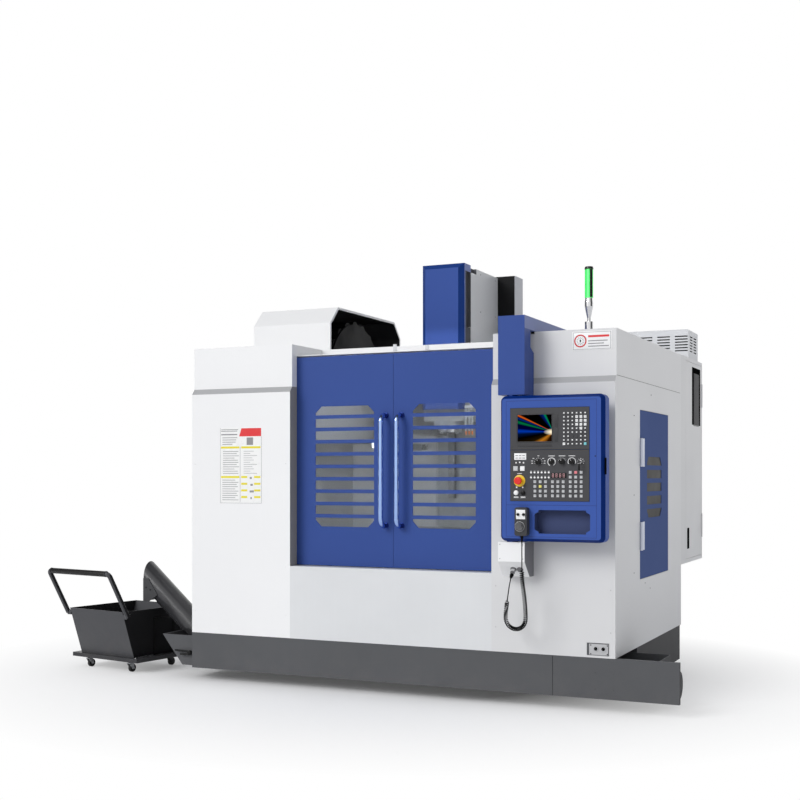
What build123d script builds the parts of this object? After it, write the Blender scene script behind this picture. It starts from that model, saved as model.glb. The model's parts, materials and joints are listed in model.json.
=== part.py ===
"""Vertical machining centre: enclosure, sliding doors, three axes, tool changer, swivelling
operator panel, chip conveyor and chip cart.

Millimetres, +Z up, +X to the operator's right, +Y to the rear. While it is modelled, X = 0 is
the middle of the doorway, Y = 0 the face of the front panels and Z = 0 the floor. At the end
everything moves so that the origin is the centre of the whole machine's footprint.
"""

import os
from math import atan, cos, degrees, hypot, pi, radians, sin, tan

from build123d import *

# Enclosure of folded sheet
WIDTH = 2600.0
SIDE_DEPTH = 1611.0
ROOF_Z = 1996.0
PANEL_FOOT = 288.0
SHEET = 4.0
DOORWAY = 1244.0
FASCIA_SET = 24.0
FASCIA_FOOT = 1718.0
FASCIA_RISE = 32.0
STRIP_LEAN = 20.0
SILL_LIP = 60.0
FIT = 2.0
RUN = 4.0

# Sliding front doors
DOOR_SET = 84.0
DOOR_DEPTH = 30.0
DOOR_SKIN = 3.0
DOOR_FOOT = 711.0
DOOR_HEIGHT = 1211.0
DOOR_LAP = 40.0
DOOR_TRAVEL = 550.0
WINDOW_OUT = 310.0
WINDOW_WIDTH = 378.0
WINDOW_FOOT = 937.0
WINDOW_CORNER = 38.0
SLOTS = 10
SLOT = 50.6
SLOT_PITCH = 71.6
GLASS = 6.0
HANDLE_OUT = 49.0
HANDLE_TUBE = 28.0
HANDLE_FOOT_Z = 948.0
HANDLE_LENGTH = 624.0
HANDLE_STANDOFF = 64.0
HANDLE_BEND = 42.0
TRACK_DEPTH = 8.0
TRACK_HEIGHT = 40.0
HANGER_IN = 90.0
HANGER_HALF = 30.0
GLASS_MARGIN = 30.0
HANDLE_FOOT = 5.0
HANDLE_RIM = 6.0

# Roof over the doors, open over the cutting area
LEDGE_DEPTH = 308.0
ROOF_FLANGE = 68.0
ROOF_LIP = 36.0

# Cutting area
SPLASH_HALF = 943.0
SPLASH_FRONT = 144.0
SPLASH_TOP = 1900.0
SHELF_Z = 1450.0
GUARD_X = 604.0
SHELF_HOLE = 170.0
SLUICE_FRONT = 226.0
SLUICE_REAR = 374.0
SLUICE_HALF = 900.0

# Bed, column and the three axes
BED_HALF = 400.0
BED_FRONT = 490.0
BED_REAR = 1960.0
BED_FOOT = 75.0
BED_TOP = 565.0
BED_FLARE = 60.0
RAIL_WIDTH = 45.0
RAIL_HEIGHT = 34.0
RAIL_END = 10.0
RAIL_OVERRUN = 60.0
Y_RAIL_HALF = 270.0
SADDLE_LENGTH = 960.0
SADDLE_DEPTH = 480.0
SADDLE_HEIGHT = 140.0
X_RAIL_HALF = 160.0
TABLE_LENGTH = 1000.0
TABLE_DEPTH = 500.0
TABLE_THICK = 92.0
CARRIAGE_HEIGHT = 32.0
CARRIAGE_HALF = 55.0
T_SLOTS = 5
T_SLOT_PITCH = 90.0
T_SLOT_WIDTH = 18.0
T_SLOT_NECK = 20.0
T_SLOT_BASE = 32.0
T_SLOT_BASE_HEIGHT = 14.0
AXIS_GAP = 0.3
X_TRAVEL = 800.0
Y_TRAVEL = 500.0
Z_TRAVEL = 500.0
COLUMN_HALF = 300.0
COLUMN_FACE = 1445.0
COVER_HEIGHT = 460.0
COLUMN_CAP_DEPTH = 355.0
COLUMN_WAIST = 1500.0
COLUMN_WALL = 40.0
Z_RAIL_HALF = 190.0
COVER_HALF = 259.0
COVER_DEPTH = 159.0
COVER_TOP = 2540.0
COVER_ROUND = 6.0
COVER_OUT = 30.0

# Headstock, spindle and its covers
SPINDLE_Y = 920.0
NOSE_Z = 1530.0
NOSE_RADIUS = 100.0
NOSE_HEIGHT = 40.0
SPINDLE_RADIUS = 60.0
SPINDLE_FLANGE = 78.0
SPINDLE_FLANGE_HEIGHT = 26.0
SPINDLE_LENGTH = 330.0
SHAFT_GAP = 0.05
DRIVE_KEY = 24.0
DRIVE_KEY_WIDTH = 16.0
DRIVE_KEY_HEIGHT = 8.0
TAPER_MOUTH = 22.2
TAPER_DEPTH = 66.0
TAPER_END = 12.6
HEAD_HALF = 140.0
HEAD_FRONT = 790.0
HEAD_CROWN = 390.0
HEAD_SLIDE_HALF = 240.0
HEAD_SLIDE_DEPTH = 60.0
HEAD_SKIRT_Z = 1640.0
HEAD_BEVEL = 30.0
HEAD_FACE_DEPTH = 44.0
HEAD_SHEET = 3.0
HEAD_NECK = 92.0
HEAD_TUCK = 24.0
HEAD_RETURN = 44.0
HEAD_NOTCH = 188.0

# Tool changer under the hood on the left
HOOD_LEFT = 1171.0
HOOD_FRONT = 498.0
HOOD_DEPTH = 1033.0
HOOD_HEIGHT = 287.0
HOOD_SHOULDER = 181.0
HOOD_FRONT_SLOPE = 105.0
HOOD_REAR_SLOPE = 99.0
HOOD_RIM = 14.0
HOOD_MITRE = 0.41
POTS = 20
POT_RADIUS = 40.0
POT_LENGTH = 130.0
POT_CIRCLE = 340.0
POT_BORE = 24.0
POT_DEPTH = 104.0
MAGAZINE_X = 656.0
MAGAZINE_Z = 1850.0
MAGAZINE_PLATE = 16.0
MAGAZINE_HUB = 45.0
ARM_CENTRE_X = 330.0
ARM_Z = 1400.0
ARM_THICK = 36.0
ARM_WIDTH = 90.0
ARM_SHAFT = 35.0
GRIPPER_RADIUS = 58.0
GRIPPER_MOUTH = 32.0
CAM_BOX_HALF = 85.0
CAM_BOX_FRONT = 830.0
CAM_BOX_FOOT = 1500.0
CAM_BOX_HEIGHT = 300.0
CAM_BOX_BEVEL = 25.0
BRACKET_THICK = 30.0
BRACKET_GAP = 12.0
BRACKET_HEIGHT = 260.0

# Tanks, skirt and chip conveyor along the front
TANK_FOOT = 70.0
TANK_FRONT = 495.0
TANK_INNER = 480.0
SKIRT_FOOT = 75.0
SKIRT_DEPTH = 24.0
SKIRT_OVERHANG = 329.0
TROUGH_DEPTH = 414.0
TROUGH_TOP = 263.0
TROUGH_FOOT = 83.0
TROUGH_TIP = 231.0
TROUGH_RAKE = 143.0
TROUGH_RIGHT = 1490.0
TROUGH_TOE = 60.0
SKIRT_FOLD = 20.0
SCREW_Y = 300.0
SCREW_Z = 124.0
SCREW_RADIUS = 62.0
SCREW_SHAFT = 21.0
SCREW_GAP = 10.0
SCREW_PITCH = 240.0
SCREW_TURNS = 10.0
FLIGHT_THICK = 8.0
MOTOR_RADIUS = 80.0
MOTOR_OUT = 79.0
SCOOP_UP = 40.0
TUBE_RADIUS = 78.0
TUBE_WALL = 4.0
TUBE_SLOPE = 0.87
TUBE_REACH = 522.0
TUBE_START = 20.0
CHUTE_DROP = 147.0
CHUTE_DEPTH = 110.0
OUTLET_INSET = 22.0
CHUTE_LIP = 40.0
TUBE_SPARE = 200.0
SHAFT_END = 60.0

# Side door with a slotted window, right side
SIDE_DOOR_FRONT = 529.0
SIDE_DOOR_DEPTH = 707.0
SIDE_DOOR_FOOT = 658.0
SIDE_DOOR_HEIGHT = 937.0
SIDE_DOOR_THICK = 22.0
SIDE_WINDOW_FRONT = 694.0
SIDE_WINDOW_DEPTH = 366.0
SIDE_WINDOW_FOOT = 992.0
SIDE_SLOTS = 5
SIDE_SLOT = 49.0
SIDE_SLOT_PITCH = 74.5
HINGE_RADIUS = 7.0
HINGE_LEAF = 93.0
HINGE_LEAF_THICK = 3.0
HINGE_UPPER = 1280.0
HINGE_LOWER = 815.0
HINGE_HEIGHT = 160.0

# Electrical cabinet at the rear right and the vented box on it
CABINET_GAP = 175.0
CABINET_DEPTH = 686.0
CABINET_FOOT = 667.0
CABINET_HEIGHT = 1333.0
CABINET_DOOR_IN = 153.0
CABINET_DOOR_DEPTH = 512.0
CABINET_DOOR_MARGIN = 26.0
VENT_IN = 193.0
VENT_DEPTH = 270.0
VENT_FOOT = 1568.0
VENT_HEIGHT = 380.0
VENT_SLATS = 7
VENT_SET = 8.0
LATCH_IN = 58.0
LATCH_WIDTH = 26.0
LATCH_FOOT = 758.0
LATCH_HEIGHT = 134.0
KNUCKLE_IN = 120.0
KNUCKLE = 4.0
BOX_SET = 25.0
BOX_IN = 350.0
BOX_DEPTH = 315.0
BOX_HEIGHT = 200.0
LOUVRE = 85.0
LOUVRE_PITCH = 118.0
LOUVRE_HEIGHT = 8.0
LOUVRE_ROWS = 6
LOUVRE_ROW_PITCH = 19.0
LOUVRE_TOP = 42.0
BOX_BEVEL = 6.0

# Operator panel, its arm and the socket box under it
ARM_LEFT = 714.0
ARM_BOX = 146.0
ARM_FRONT = 149.0
ARM_FOOT = 1652.0
ARM_RISE = 70.0
ARM_BACK = 640.0
ARM_NECK = 96.0
ARM_STEP = 1880.0
ARM_SLOPE = 25.0
PANEL_LEFT = 732.0
PANEL_WIDTH = 558.0
PANEL_FRONT = 180.0
PANEL_DEPTH = 96.0
PANEL_Z = 891.0
PANEL_HEIGHT = 755.0
PANEL_ROUND = 30.0
PANEL_BEVEL = 28.0
PANEL_BEVEL_DEPTH = 16.0
SWIVEL_X = 783.0
SWIVEL_Y = 116.0
SWIVEL_RADIUS = 30.0
SWIVEL_GAP = 0.5
SCREEN_LEFT = 794.0
SCREEN_WIDTH = 420.0
SCREEN_FOOT = 1365.0
SCREEN_HEIGHT = 214.0
UNIT_THICK = 12.0
UNIT_PROUD = 3.0
DISPLAY_IN = 40.0
DISPLAY_UP = 42.0
DISPLAY_WIDTH = 184.0
DISPLAY_HEIGHT = 137.0
KEYS_HEIGHT = 262.0
KEY = 12.0
KEY_RISE = 2.5
KEY_COLUMNS = 6
KEY_ROWS = 9
KEY_PITCH_X = 22.2
KEY_PITCH_Z = 19.6
PAD_KEY = 13.0
PAD_PITCH_X = 28.5
PAD_PITCH_Z = 24.0
PAD_ROWS = 4
PAD_COLUMNS = 3
PAD_LEFTS = (134.0, 228.0, 322.0)
PAD_DOWN = 235.0
KEYS_IN = 20.0
KEYS_UP = 28.0
KNOB_PLACES = (152.0, 223.0, 278.0, 330.0)
KEY_SWITCH = 377.0
KNOB_DOWN = 61.0
SQUARE_PLACES = (30.0, 67.0)
SQUARE_DOWN = 95.0
SQUARE_KEY = 22.0
ROUND_DOWN = 220.0
STOP_IN = 51.0
STOP_DOWN = 158.0
STOP_CAP = 12.0
KNOB_RADIUS = 13.0
KNOB_LENGTH = 16.0
STOP_RADIUS = 20.0
STOP_COLLAR = 29.0
STOP_RISE = 26.0
STOP_TRAVEL = 4.0
TRAY_LEFT = 925.0
TRAY_WIDTH = 293.0
TRAY_FOOT = 934.0
TRAY_HEIGHT = 121.0
TRAY_NOTCH = 21.0
TRAY_DEPTH = 62.0
PENDANT_LEFT = 831.0
PENDANT_WIDTH = 67.0
PENDANT_FOOT = 922.0
PENDANT_HEIGHT = 146.0
PENDANT_DEPTH = 44.0
PENDANT_ROUND = 12.0
DIAL_RADIUS = 22.0
DIAL_RISE = 12.0
DIAL_UP = 48.0
DIAL_GRIP = 5.0
SELECTOR_RADIUS = 6.0
SELECTOR_RISE = 8.0
SELECTOR_DOWN = 36.0
SOCKET_TOP = 885.0
SOCKET_KNEE = 783.0
SOCKET_FOOT = 700.0
SOCKET_TUCK = 81.0

# Pendant cord: curly between two straight ends
CORD = 6.0
CURL = 19.0
CORD_DROP_END = (864.0, -203.0, 745.0)
CURL_ROUTE = ((864.0, -203.0, 705.0), (868.0, -199.0, 660.0), (873.0, -190.0, 605.0),
              (875.0, -180.0, 543.0))
LOOP_CENTRE = (810.5, -149.0, 497.0)
LOOP_RADIUS = 63.5
LOOP_CORNERS = 6
LOOP_RISE = 8.6
CORD_TAIL_START = (757.0, -130.0, 570.0)
CORD_TAIL_RUN = 40.0
CURL_END_RUN = 45.0
PLUG_X = 786.0
PLUG_RADIUS = 12.0
PLUG_LENGTH = 42.0
PLUG_BOOT = 26.0

# Signal lamp on the right roof
LAMP_IN = 182.0
LAMP_Y = 150.0
LAMP_RADIUS = 22.0
LAMP_FOOT_RADIUS = 25.0
LAMP_POLE = 9.0
LENS_FOOT = 2176.0
LENS_HEIGHT = 154.0
LAMP_CAP = 11.0
LAMP_FLANGE = 4.0
LAMP_SOCKET = 53.0
LAMP_NECK = 20.0
LAMP_SHOULDER = 46.0
LAMP_SEAT = 14.0

# Chip cart under the conveyor's outlet
CART_OUT = 675.0
CART_Y = 280.0
CART_TURN = -10.0
TRAY_LENGTH_CART = 590.0
TRAY_DEPTH_CART = 428.0
CART_TRAY_Z = 68.0
CART_TRAY_EDGE = 25.0
BIN_WIDTH = 482.0
BIN_DEPTH = 566.0
BIN_FOOT_DEPTH = 372.0
BIN_TOP = 388.0
BIN_WALL = 3.0
CART_HANDLE = 548.0
CART_HANDLE_TUBE = 30.0
CART_HANDLE_Z = 633.0
CART_HANDLE_LEAN = 138.0
WHEEL_RADIUS = 25.0
WHEEL_WIDTH = 20.0
CASTER_X = 188.0
CASTER_Y = 170.0
CASTER_TRAIL = 18.0
FORK_PLATE = 4.0
AXLE = 5.0

# Levelling feet
FOOT_RADIUS = 55.0
FOOT_HEIGHT = 22.0
STUD_RADIUS = 14.0

# Worked out from the sizes above
HALF = WIDTH / 2
GATE = DOORWAY / 2
DOOR_REAR = DOOR_SET + DOOR_DEPTH
DOOR_TOP = DOOR_FOOT + DOOR_HEIGHT
LEDGE_Z = DOOR_TOP + 2 * RUN
TRACK_Y = DOOR_REAR + 2 * RUN
RISER_Y = DOOR_SET + LEDGE_DEPTH
SILL_Z = DOOR_FOOT - RUN
SPLASH_REAR = COLUMN_FACE - SHEET - FIT
Y_RAIL_TOP = BED_TOP + RAIL_HEIGHT
SADDLE_FOOT = Y_RAIL_TOP + AXIS_GAP
SADDLE_TOP = SADDLE_FOOT + SADDLE_HEIGHT
X_RAIL_TOP = SADDLE_TOP + RAIL_HEIGHT
TABLE_FOOT = X_RAIL_TOP + AXIS_GAP + CARRIAGE_HEIGHT
TABLE_TOP = TABLE_FOOT + TABLE_THICK
Z_RAIL_FACE = COLUMN_FACE - RAIL_HEIGHT
HEAD_REAR = Z_RAIL_FACE - AXIS_GAP
HOOD_X = -GATE
MAGAZINE_Y = SPINDLE_Y
POT_MOUTH_X = -MAGAZINE_X - MAGAZINE_PLATE - POT_LENGTH
BRACKET_X = -MAGAZINE_X + BRACKET_GAP
TROUGH_LEFT = HALF + TROUGH_TIP
TUBE_LEFT = HALF + TUBE_REACH
TUBE_ANGLE = degrees(atan(TUBE_SLOPE))
COLUMN_TOP = COVER_TOP - COVER_HEIGHT
HEAD_TOP = COVER_TOP - HEAD_CROWN
CABINET_WIDTH = HALF - COLUMN_HALF - CABINET_GAP
CABINET_FRONT = SIDE_DEPTH
CABINET_DOOR_FRONT = CABINET_FRONT + CABINET_DOOR_IN
VENT_FRONT = CABINET_DOOR_FRONT + VENT_IN
LATCH_FRONT = CABINET_DOOR_FRONT + LATCH_IN
BOX_WIDTH = CABINET_WIDTH - BOX_SET
BOX_FRONT = CABINET_FRONT + BOX_IN
LAMP_X = HALF - LAMP_IN
CART_X = HALF + CART_OUT
CABINET_TOP = CABINET_FOOT + CABINET_HEIGHT
PANEL_TOP = PANEL_Z + PANEL_HEIGHT
PANEL_REAR = PANEL_FRONT - PANEL_DEPTH
CART_TOP = CART_TRAY_Z + CART_TRAY_EDGE


def block(x, y, z):
    """A box, given its low and high end along each axis."""
    size = Box(x[1] - x[0], y[1] - y[0], z[1] - z[0])
    return Pos((x[0] + x[1]) / 2, (y[0] + y[1]) / 2, (z[0] + z[1]) / 2) * size


def outline(points, plane):
    """A closed straight-sided face on a plane."""
    return make_face(plane * Polyline(*points, close=True))


def drawn_out(points, plane, length):
    """A straight-sided outline on a plane, drawn out along the plane's normal."""
    return extrude(outline(points, plane), length, dir=plane.z_dir)


def along_x(points, x0, x1):
    """A Y-Z outline drawn out along X."""
    return drawn_out(points, Plane((x0, 0, 0), x_dir=(0, 1, 0), z_dir=(1, 0, 0)), x1 - x0)


def along_y(points, y0, y1):
    """An X-Z outline drawn out along Y."""
    return drawn_out(points, Plane((0, y1, 0), x_dir=(1, 0, 0), z_dir=(0, -1, 0)), y1 - y0)


def along_z(points, z0, z1):
    """An X-Y outline drawn out along Z."""
    return drawn_out(points, Plane((0, 0, z0)), z1 - z0)


def rod(start, direction, radius, length):
    """A round bar from a point, along a direction."""
    return extrude(Plane(start, z_dir=direction) * Circle(radius), length)


def tube_along(points, bend, radius):
    """A round bar along straight runs joined by bends."""
    path = FilletPolyline(*points, radius=bend)
    return sweep(Plane(path @ 0, z_dir=path % 0) * Circle(radius), path)


def group(*solids):
    """Separate solids kept as one node."""
    return Compound(children=[s for piece in solids for s in piece.solids()])


def mirror_x(shape):
    """The same piece on the other side of the middle."""
    return mirror(shape, about=Plane.YZ)


# Enclosure

def cabinet_profile(inset):
    """Side view of a front cabinet: lower panel, slanted strip, fascia, roof and rear."""
    rise = inset * sin(radians(STRIP_LEAN))
    return [(inset, PANEL_FOOT), (inset, FASCIA_FOOT + rise),
            (FASCIA_SET + inset, FASCIA_FOOT + FASCIA_RISE + rise),
            (FASCIA_SET + inset, ROOF_Z - inset), (SIDE_DEPTH - inset, ROOF_Z - inset),
            (SIDE_DEPTH - inset, PANEL_FOOT)]


def cabinet_shell():
    """The left cabinet as one folded shell, open below and towards the cutting area."""
    shell = along_x(cabinet_profile(0), -HALF, -GATE)
    shell -= along_x(cabinet_profile(SHEET), -HALF + SHEET, -GATE - SHEET)
    inner = (-GATE - 2 * SHEET, -GATE + SHEET)
    shell -= block(inner, (DOOR_SET - RUN, SIDE_DEPTH - SHEET), (PANEL_FOOT - 1, LEDGE_Z))
    shell -= block(inner, (RISER_Y, SIDE_DEPTH - SHEET), (LEDGE_Z - 1, ROOF_Z - SHEET))
    rear = along_y([(-GATE, PANEL_FOOT), (-GATE, ROOF_Z), (-COLUMN_HALF - FIT, ROOF_Z),
                    (-COLUMN_HALF - FIT, BED_TOP + FIT), (-BED_HALF - FIT, BED_TOP + FIT),
                    (-BED_HALF - FIT, PANEL_FOOT)], SIDE_DEPTH - SHEET, SIDE_DEPTH)
    return shell + rear


def left_cabinet():
    """The left cabinet, its roof cut away under the tool hood."""
    hole = block((-HOOD_LEFT + HOOD_RIM, HOOD_X + 1), (HOOD_FRONT + HOOD_RIM,
                 HOOD_FRONT + HOOD_DEPTH - HOOD_RIM), (ROOF_Z - 2 * SHEET, ROOF_Z + 1))
    return cabinet_shell() - hole


def right_cabinet():
    """The right cabinet, with the opening for its side door."""
    shell = mirror_x(cabinet_shell())
    return shell - block((HALF - SHEET - 1, HALF + 1),
                         (SIDE_DOOR_FRONT - FIT, SIDE_DOOR_FRONT + SIDE_DOOR_DEPTH + FIT),
                         (SIDE_DOOR_FOOT - FIT, SIDE_DOOR_FOOT + SIDE_DOOR_HEIGHT + FIT))


def front_lower_panel():
    """The panel under the doors, with its sill and the rib that guides the doors."""
    sill_rear = DOOR_REAR + 4 * RUN
    points = [(0, PANEL_FOOT), (0, SILL_Z), (DOOR_REAR + RUN / 2, SILL_Z),
              (DOOR_REAR + RUN / 2, SILL_Z + 3 * RUN), (DOOR_REAR + RUN / 2 + SHEET, SILL_Z + 3 * RUN),
              (DOOR_REAR + RUN / 2 + SHEET, SILL_Z), (sill_rear, SILL_Z),
              (sill_rear, SILL_Z - SILL_LIP), (sill_rear - SHEET, SILL_Z - SILL_LIP),
              (sill_rear - SHEET, SILL_Z - SHEET), (SHEET, SILL_Z - SHEET), (SHEET, PANEL_FOOT)]
    return along_x(points, -GATE, GATE)


def roof_frame():
    """The ledge over the doors, the white band behind it and the doors' hanging track."""
    top = ROOF_Z
    points = [(DOOR_SET, LEDGE_Z), (DOOR_SET, LEDGE_Z + SHEET), (RISER_Y - SHEET, LEDGE_Z + SHEET),
              (RISER_Y - SHEET, top), (RISER_Y + ROOF_FLANGE, top),
              (RISER_Y + ROOF_FLANGE, top - ROOF_LIP), (RISER_Y + ROOF_FLANGE - SHEET, top - ROOF_LIP),
              (RISER_Y + ROOF_FLANGE - SHEET, top - SHEET), (RISER_Y, top - SHEET), (RISER_Y, LEDGE_Z)]
    frame = along_x(points, -GATE, GATE)
    track = block((-HALF + SHEET, HALF - SHEET), (TRACK_Y, TRACK_Y + TRACK_DEPTH),
                  (LEDGE_Z - TRACK_HEIGHT, LEDGE_Z))
    return frame + track


def splash_guard():
    """Walls round the cutting area; on the left a shelf and guard under the tool magazine."""
    x, s, front, rear = SPLASH_HALF, SHEET, SPLASH_FRONT, SPLASH_REAR
    gap = COLUMN_HALF + FIT
    points = [(GATE, front), (x, front), (x, rear), (gap, rear), (gap, rear - s), (x - s, rear - s),
              (x - s, front + s), (GATE, front + s)]
    right = along_z(points, PANEL_FOOT + SHEET, SPLASH_TOP)
    right -= block((0, BED_HALF + FIT), (front + 2 * s, SIDE_DEPTH), (PANEL_FOOT, BED_TOP + FIT))
    left = mirror_x(right) - block((-HALF, 0), (front + 2 * s, rear - 2 * s), (SHELF_Z, ROOF_Z))
    left += along_y([(-x, SHELF_Z - s), (-x, SHELF_Z), (-GUARD_X - s, SHELF_Z),
                     (-GUARD_X - s, SPLASH_TOP), (-GUARD_X, SPLASH_TOP), (-GUARD_X, SHELF_Z - s)],
                    front, rear)
    hole = SHELF_HOLE / 2
    left -= block((POT_MOUTH_X - RUN, -MAGAZINE_X - MAGAZINE_PLATE),
                  (SPINDLE_Y - hole, SPINDLE_Y + hole), (SHELF_Z - 2 * s, SHELF_Z + 1))
    through = (rear - 2 * s, rear + s)
    left -= block((BRACKET_X - FIT, BRACKET_X + BRACKET_THICK + FIT), through,
                  (CAM_BOX_FOOT - FIT, SPLASH_TOP + 1))
    left -= block((-ARM_CENTRE_X - CAM_BOX_HALF - FIT, 0), through,
                  (CAM_BOX_FOOT - FIT, CAM_BOX_FOOT + CAM_BOX_HEIGHT + FIT))
    return group(left, right)


def chip_pan():
    """Floor of the enclosure, fitted round the bed and open over the chip screw."""
    x = HALF - SHEET
    pan = block((-x, x), (DOOR_SET - RUN, SIDE_DEPTH - SHEET), (PANEL_FOOT, PANEL_FOOT + SHEET))
    pan -= block((-BED_HALF, BED_HALF), (BED_FRONT, SIDE_DEPTH),
                 (PANEL_FOOT - 1, PANEL_FOOT + SHEET + 1))
    return pan - block((-SLUICE_HALF, SLUICE_HALF), (SLUICE_FRONT, SLUICE_REAR),
                       (PANEL_FOOT - 1, PANEL_FOOT + SHEET + 1))


# Sliding doors

def slotted_window(centre, foot, width, count, slot, pitch, corner):
    """Window slots as flat faces: a bevelled opening crossed by level bars."""
    top = foot + (count - 1) * pitch + slot
    left, right = centre - width / 2, centre + width / 2
    opening = [(left + corner, foot), (right - corner, foot), (right, foot + corner),
               (right, top - corner), (right - corner, top), (left + corner, top),
               (left, top - corner), (left, foot + corner)]
    bars = [(left - 1, right + 1, foot + n * pitch + slot, foot + (n + 1) * pitch)
            for n in range(count - 1)]
    return opening, bars


def door_skin_cut(y0, y1):
    """The window slots of the right door, as one cutter."""
    opening, bars = slotted_window(WINDOW_OUT, WINDOW_FOOT, WINDOW_WIDTH, SLOTS, SLOT, SLOT_PITCH,
                                   WINDOW_CORNER)
    cutter = along_y(opening, y0, y1)
    for left, right, low, high in bars:
        cutter -= block((left, right), (y0 - 1, y1 + 1), (low, high))
    return cutter


def door_right():
    """The right door: a pan with its edges folded back, slots and two track carriages."""
    x0, x1 = FIT / 2, GATE + DOOR_LAP
    door = block((x0, x1), (DOOR_SET, DOOR_REAR), (DOOR_FOOT, DOOR_TOP))
    door -= block((x0 + DOOR_SKIN, x1 - DOOR_SKIN), (DOOR_SET + DOOR_SKIN, DOOR_REAR + 1),
                  (DOOR_FOOT + DOOR_SKIN, DOOR_TOP - DOOR_SKIN))
    door -= door_skin_cut(DOOR_SET - 1, DOOR_SET + DOOR_SKIN + 1)
    track_foot = LEDGE_Z - TRACK_HEIGHT
    for x in (x0 + HANGER_IN, x1 - HANGER_IN):
        hanger = along_x([(DOOR_REAR - DOOR_SKIN, DOOR_TOP - DOOR_SKIN),
                          (DOOR_REAR - DOOR_SKIN, track_foot - 3 * RUN),
                          (TRACK_Y + TRACK_DEPTH + 2 * RUN, track_foot - 3 * RUN),
                          (TRACK_Y + TRACK_DEPTH + 2 * RUN, track_foot + 3 * RUN),
                          (TRACK_Y + TRACK_DEPTH + RUN / 2, track_foot + 3 * RUN),
                          (TRACK_Y + TRACK_DEPTH + RUN / 2, track_foot - RUN / 2),
                          (TRACK_Y - RUN / 2, track_foot - RUN / 2),
                          (TRACK_Y - RUN / 2, DOOR_TOP - DOOR_SKIN)], x - HANGER_HALF, x + HANGER_HALF)
        door += hanger
    return door


def door_glass_right():
    """The pane behind the slots, lying on the inside of the door's skin."""
    top = WINDOW_FOOT + (SLOTS - 1) * SLOT_PITCH + SLOT
    margin = GLASS_MARGIN
    return block((WINDOW_OUT - WINDOW_WIDTH / 2 - margin, WINDOW_OUT + WINDOW_WIDTH / 2 + margin),
                 (DOOR_SET + DOOR_SKIN, DOOR_SET + DOOR_SKIN + GLASS),
                 (WINDOW_FOOT - margin, top + margin))


def door_handle_right():
    """A bent tube with a round foot at each end, bolted to the door's face."""
    y = DOOR_SET - HANDLE_STANDOFF
    top = HANDLE_FOOT_Z + HANDLE_LENGTH
    points = [(HANDLE_OUT, DOOR_SET, HANDLE_FOOT_Z), (HANDLE_OUT, y, HANDLE_FOOT_Z),
              (HANDLE_OUT, y, top), (HANDLE_OUT, DOOR_SET, top)]
    handle = tube_along(points, HANDLE_BEND, HANDLE_TUBE / 2)
    for z in (HANDLE_FOOT_Z, top):
        handle += rod((HANDLE_OUT, DOOR_SET - HANDLE_FOOT, z), (0, 1, 0), HANDLE_TUBE / 2 + HANDLE_RIM,
                      HANDLE_FOOT)
    return handle


# Bed and axes

def base_casting():
    """The bed: flared foot, way pads and cored sides."""
    half, flare = BED_HALF, BED_FLARE
    rear = BED_REAR
    bed = block((-half, half), (BED_FRONT, rear), (BED_FOOT, BED_TOP))
    for side in (-1, 1):
        for y in (BED_FRONT + 2 * flare, (BED_FRONT + rear) / 2 + flare):
            length = (rear - BED_FRONT) / 2 - 3 * flare
            pocket = block(sorted((side * (half - 1.5 * flare), side * (half + 1))), (y, y + length),
                           (PANEL_FOOT + flare, BED_TOP - 1.5 * flare))
            bed -= fillet(pocket.edges().filter_by(Axis.X), flare / 2)
    trough = block((-Y_RAIL_HALF + 2 * RAIL_WIDTH, Y_RAIL_HALF - 2 * RAIL_WIDTH),
                   (BED_FRONT - 1, COLUMN_FACE - flare), (BED_TOP - flare, BED_TOP + 1))
    return bed - trough


def column():
    """A tapered box column standing on the rear of the bed, hollow inside."""
    front, half, wall = COLUMN_FACE, COLUMN_HALF, COLUMN_WALL
    profile = [(front, BED_TOP), (front, COLUMN_TOP), (front + COLUMN_CAP_DEPTH, COLUMN_TOP),
               (BED_REAR, COLUMN_WAIST), (BED_REAR, BED_TOP)]
    hollow = [(front + wall, BED_TOP + wall), (front + wall, COLUMN_TOP - wall),
              (front + COLUMN_CAP_DEPTH - wall, COLUMN_TOP - wall),
              (BED_REAR - wall, COLUMN_WAIST - wall / 2), (BED_REAR - wall, BED_TOP + wall)]
    body = along_x(profile, -half, half) - along_x(hollow, wall - half, half - wall)
    window = block((-half / 2, half / 2), (BED_REAR - 2 * wall, BED_REAR + 1),
                   (BED_TOP + 4 * wall, COLUMN_WAIST - 4 * wall))
    return body - fillet(window.edges().filter_by(Axis.Y), wall)


def linear_rails():
    """Two rails on the bed for Y and two on the column for Z."""
    w = RAIL_WIDTH / 2
    rails = []
    for side in (-1, 1):
        x = side * Y_RAIL_HALF
        rails.append(block((x - w, x + w), (BED_FRONT + RAIL_END, COLUMN_FACE - RAIL_END),
                           (BED_TOP, Y_RAIL_TOP)))
        x = side * Z_RAIL_HALF
        rails.append(block((x - w, x + w), (Z_RAIL_FACE, COLUMN_FACE),
                           (HEAD_SKIRT_Z - Z_TRAVEL - RAIL_OVERRUN, COLUMN_TOP - RAIL_END)))
    return group(*rails)


def column_cover():
    """The sheet box over the Z motor, on top of the column."""
    y0 = COLUMN_FACE - COVER_OUT
    body = block((-COVER_HALF, COVER_HALF), (y0, y0 + COVER_DEPTH), (COLUMN_TOP, COVER_TOP))
    body = fillet(body.edges().filter_by(Axis.Z), COVER_ROUND)
    return body - block((-COVER_HALF + SHEET, COVER_HALF - SHEET),
                        (y0 + SHEET, y0 + COVER_DEPTH - SHEET), (COLUMN_TOP - 1, COVER_TOP - SHEET))


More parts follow.
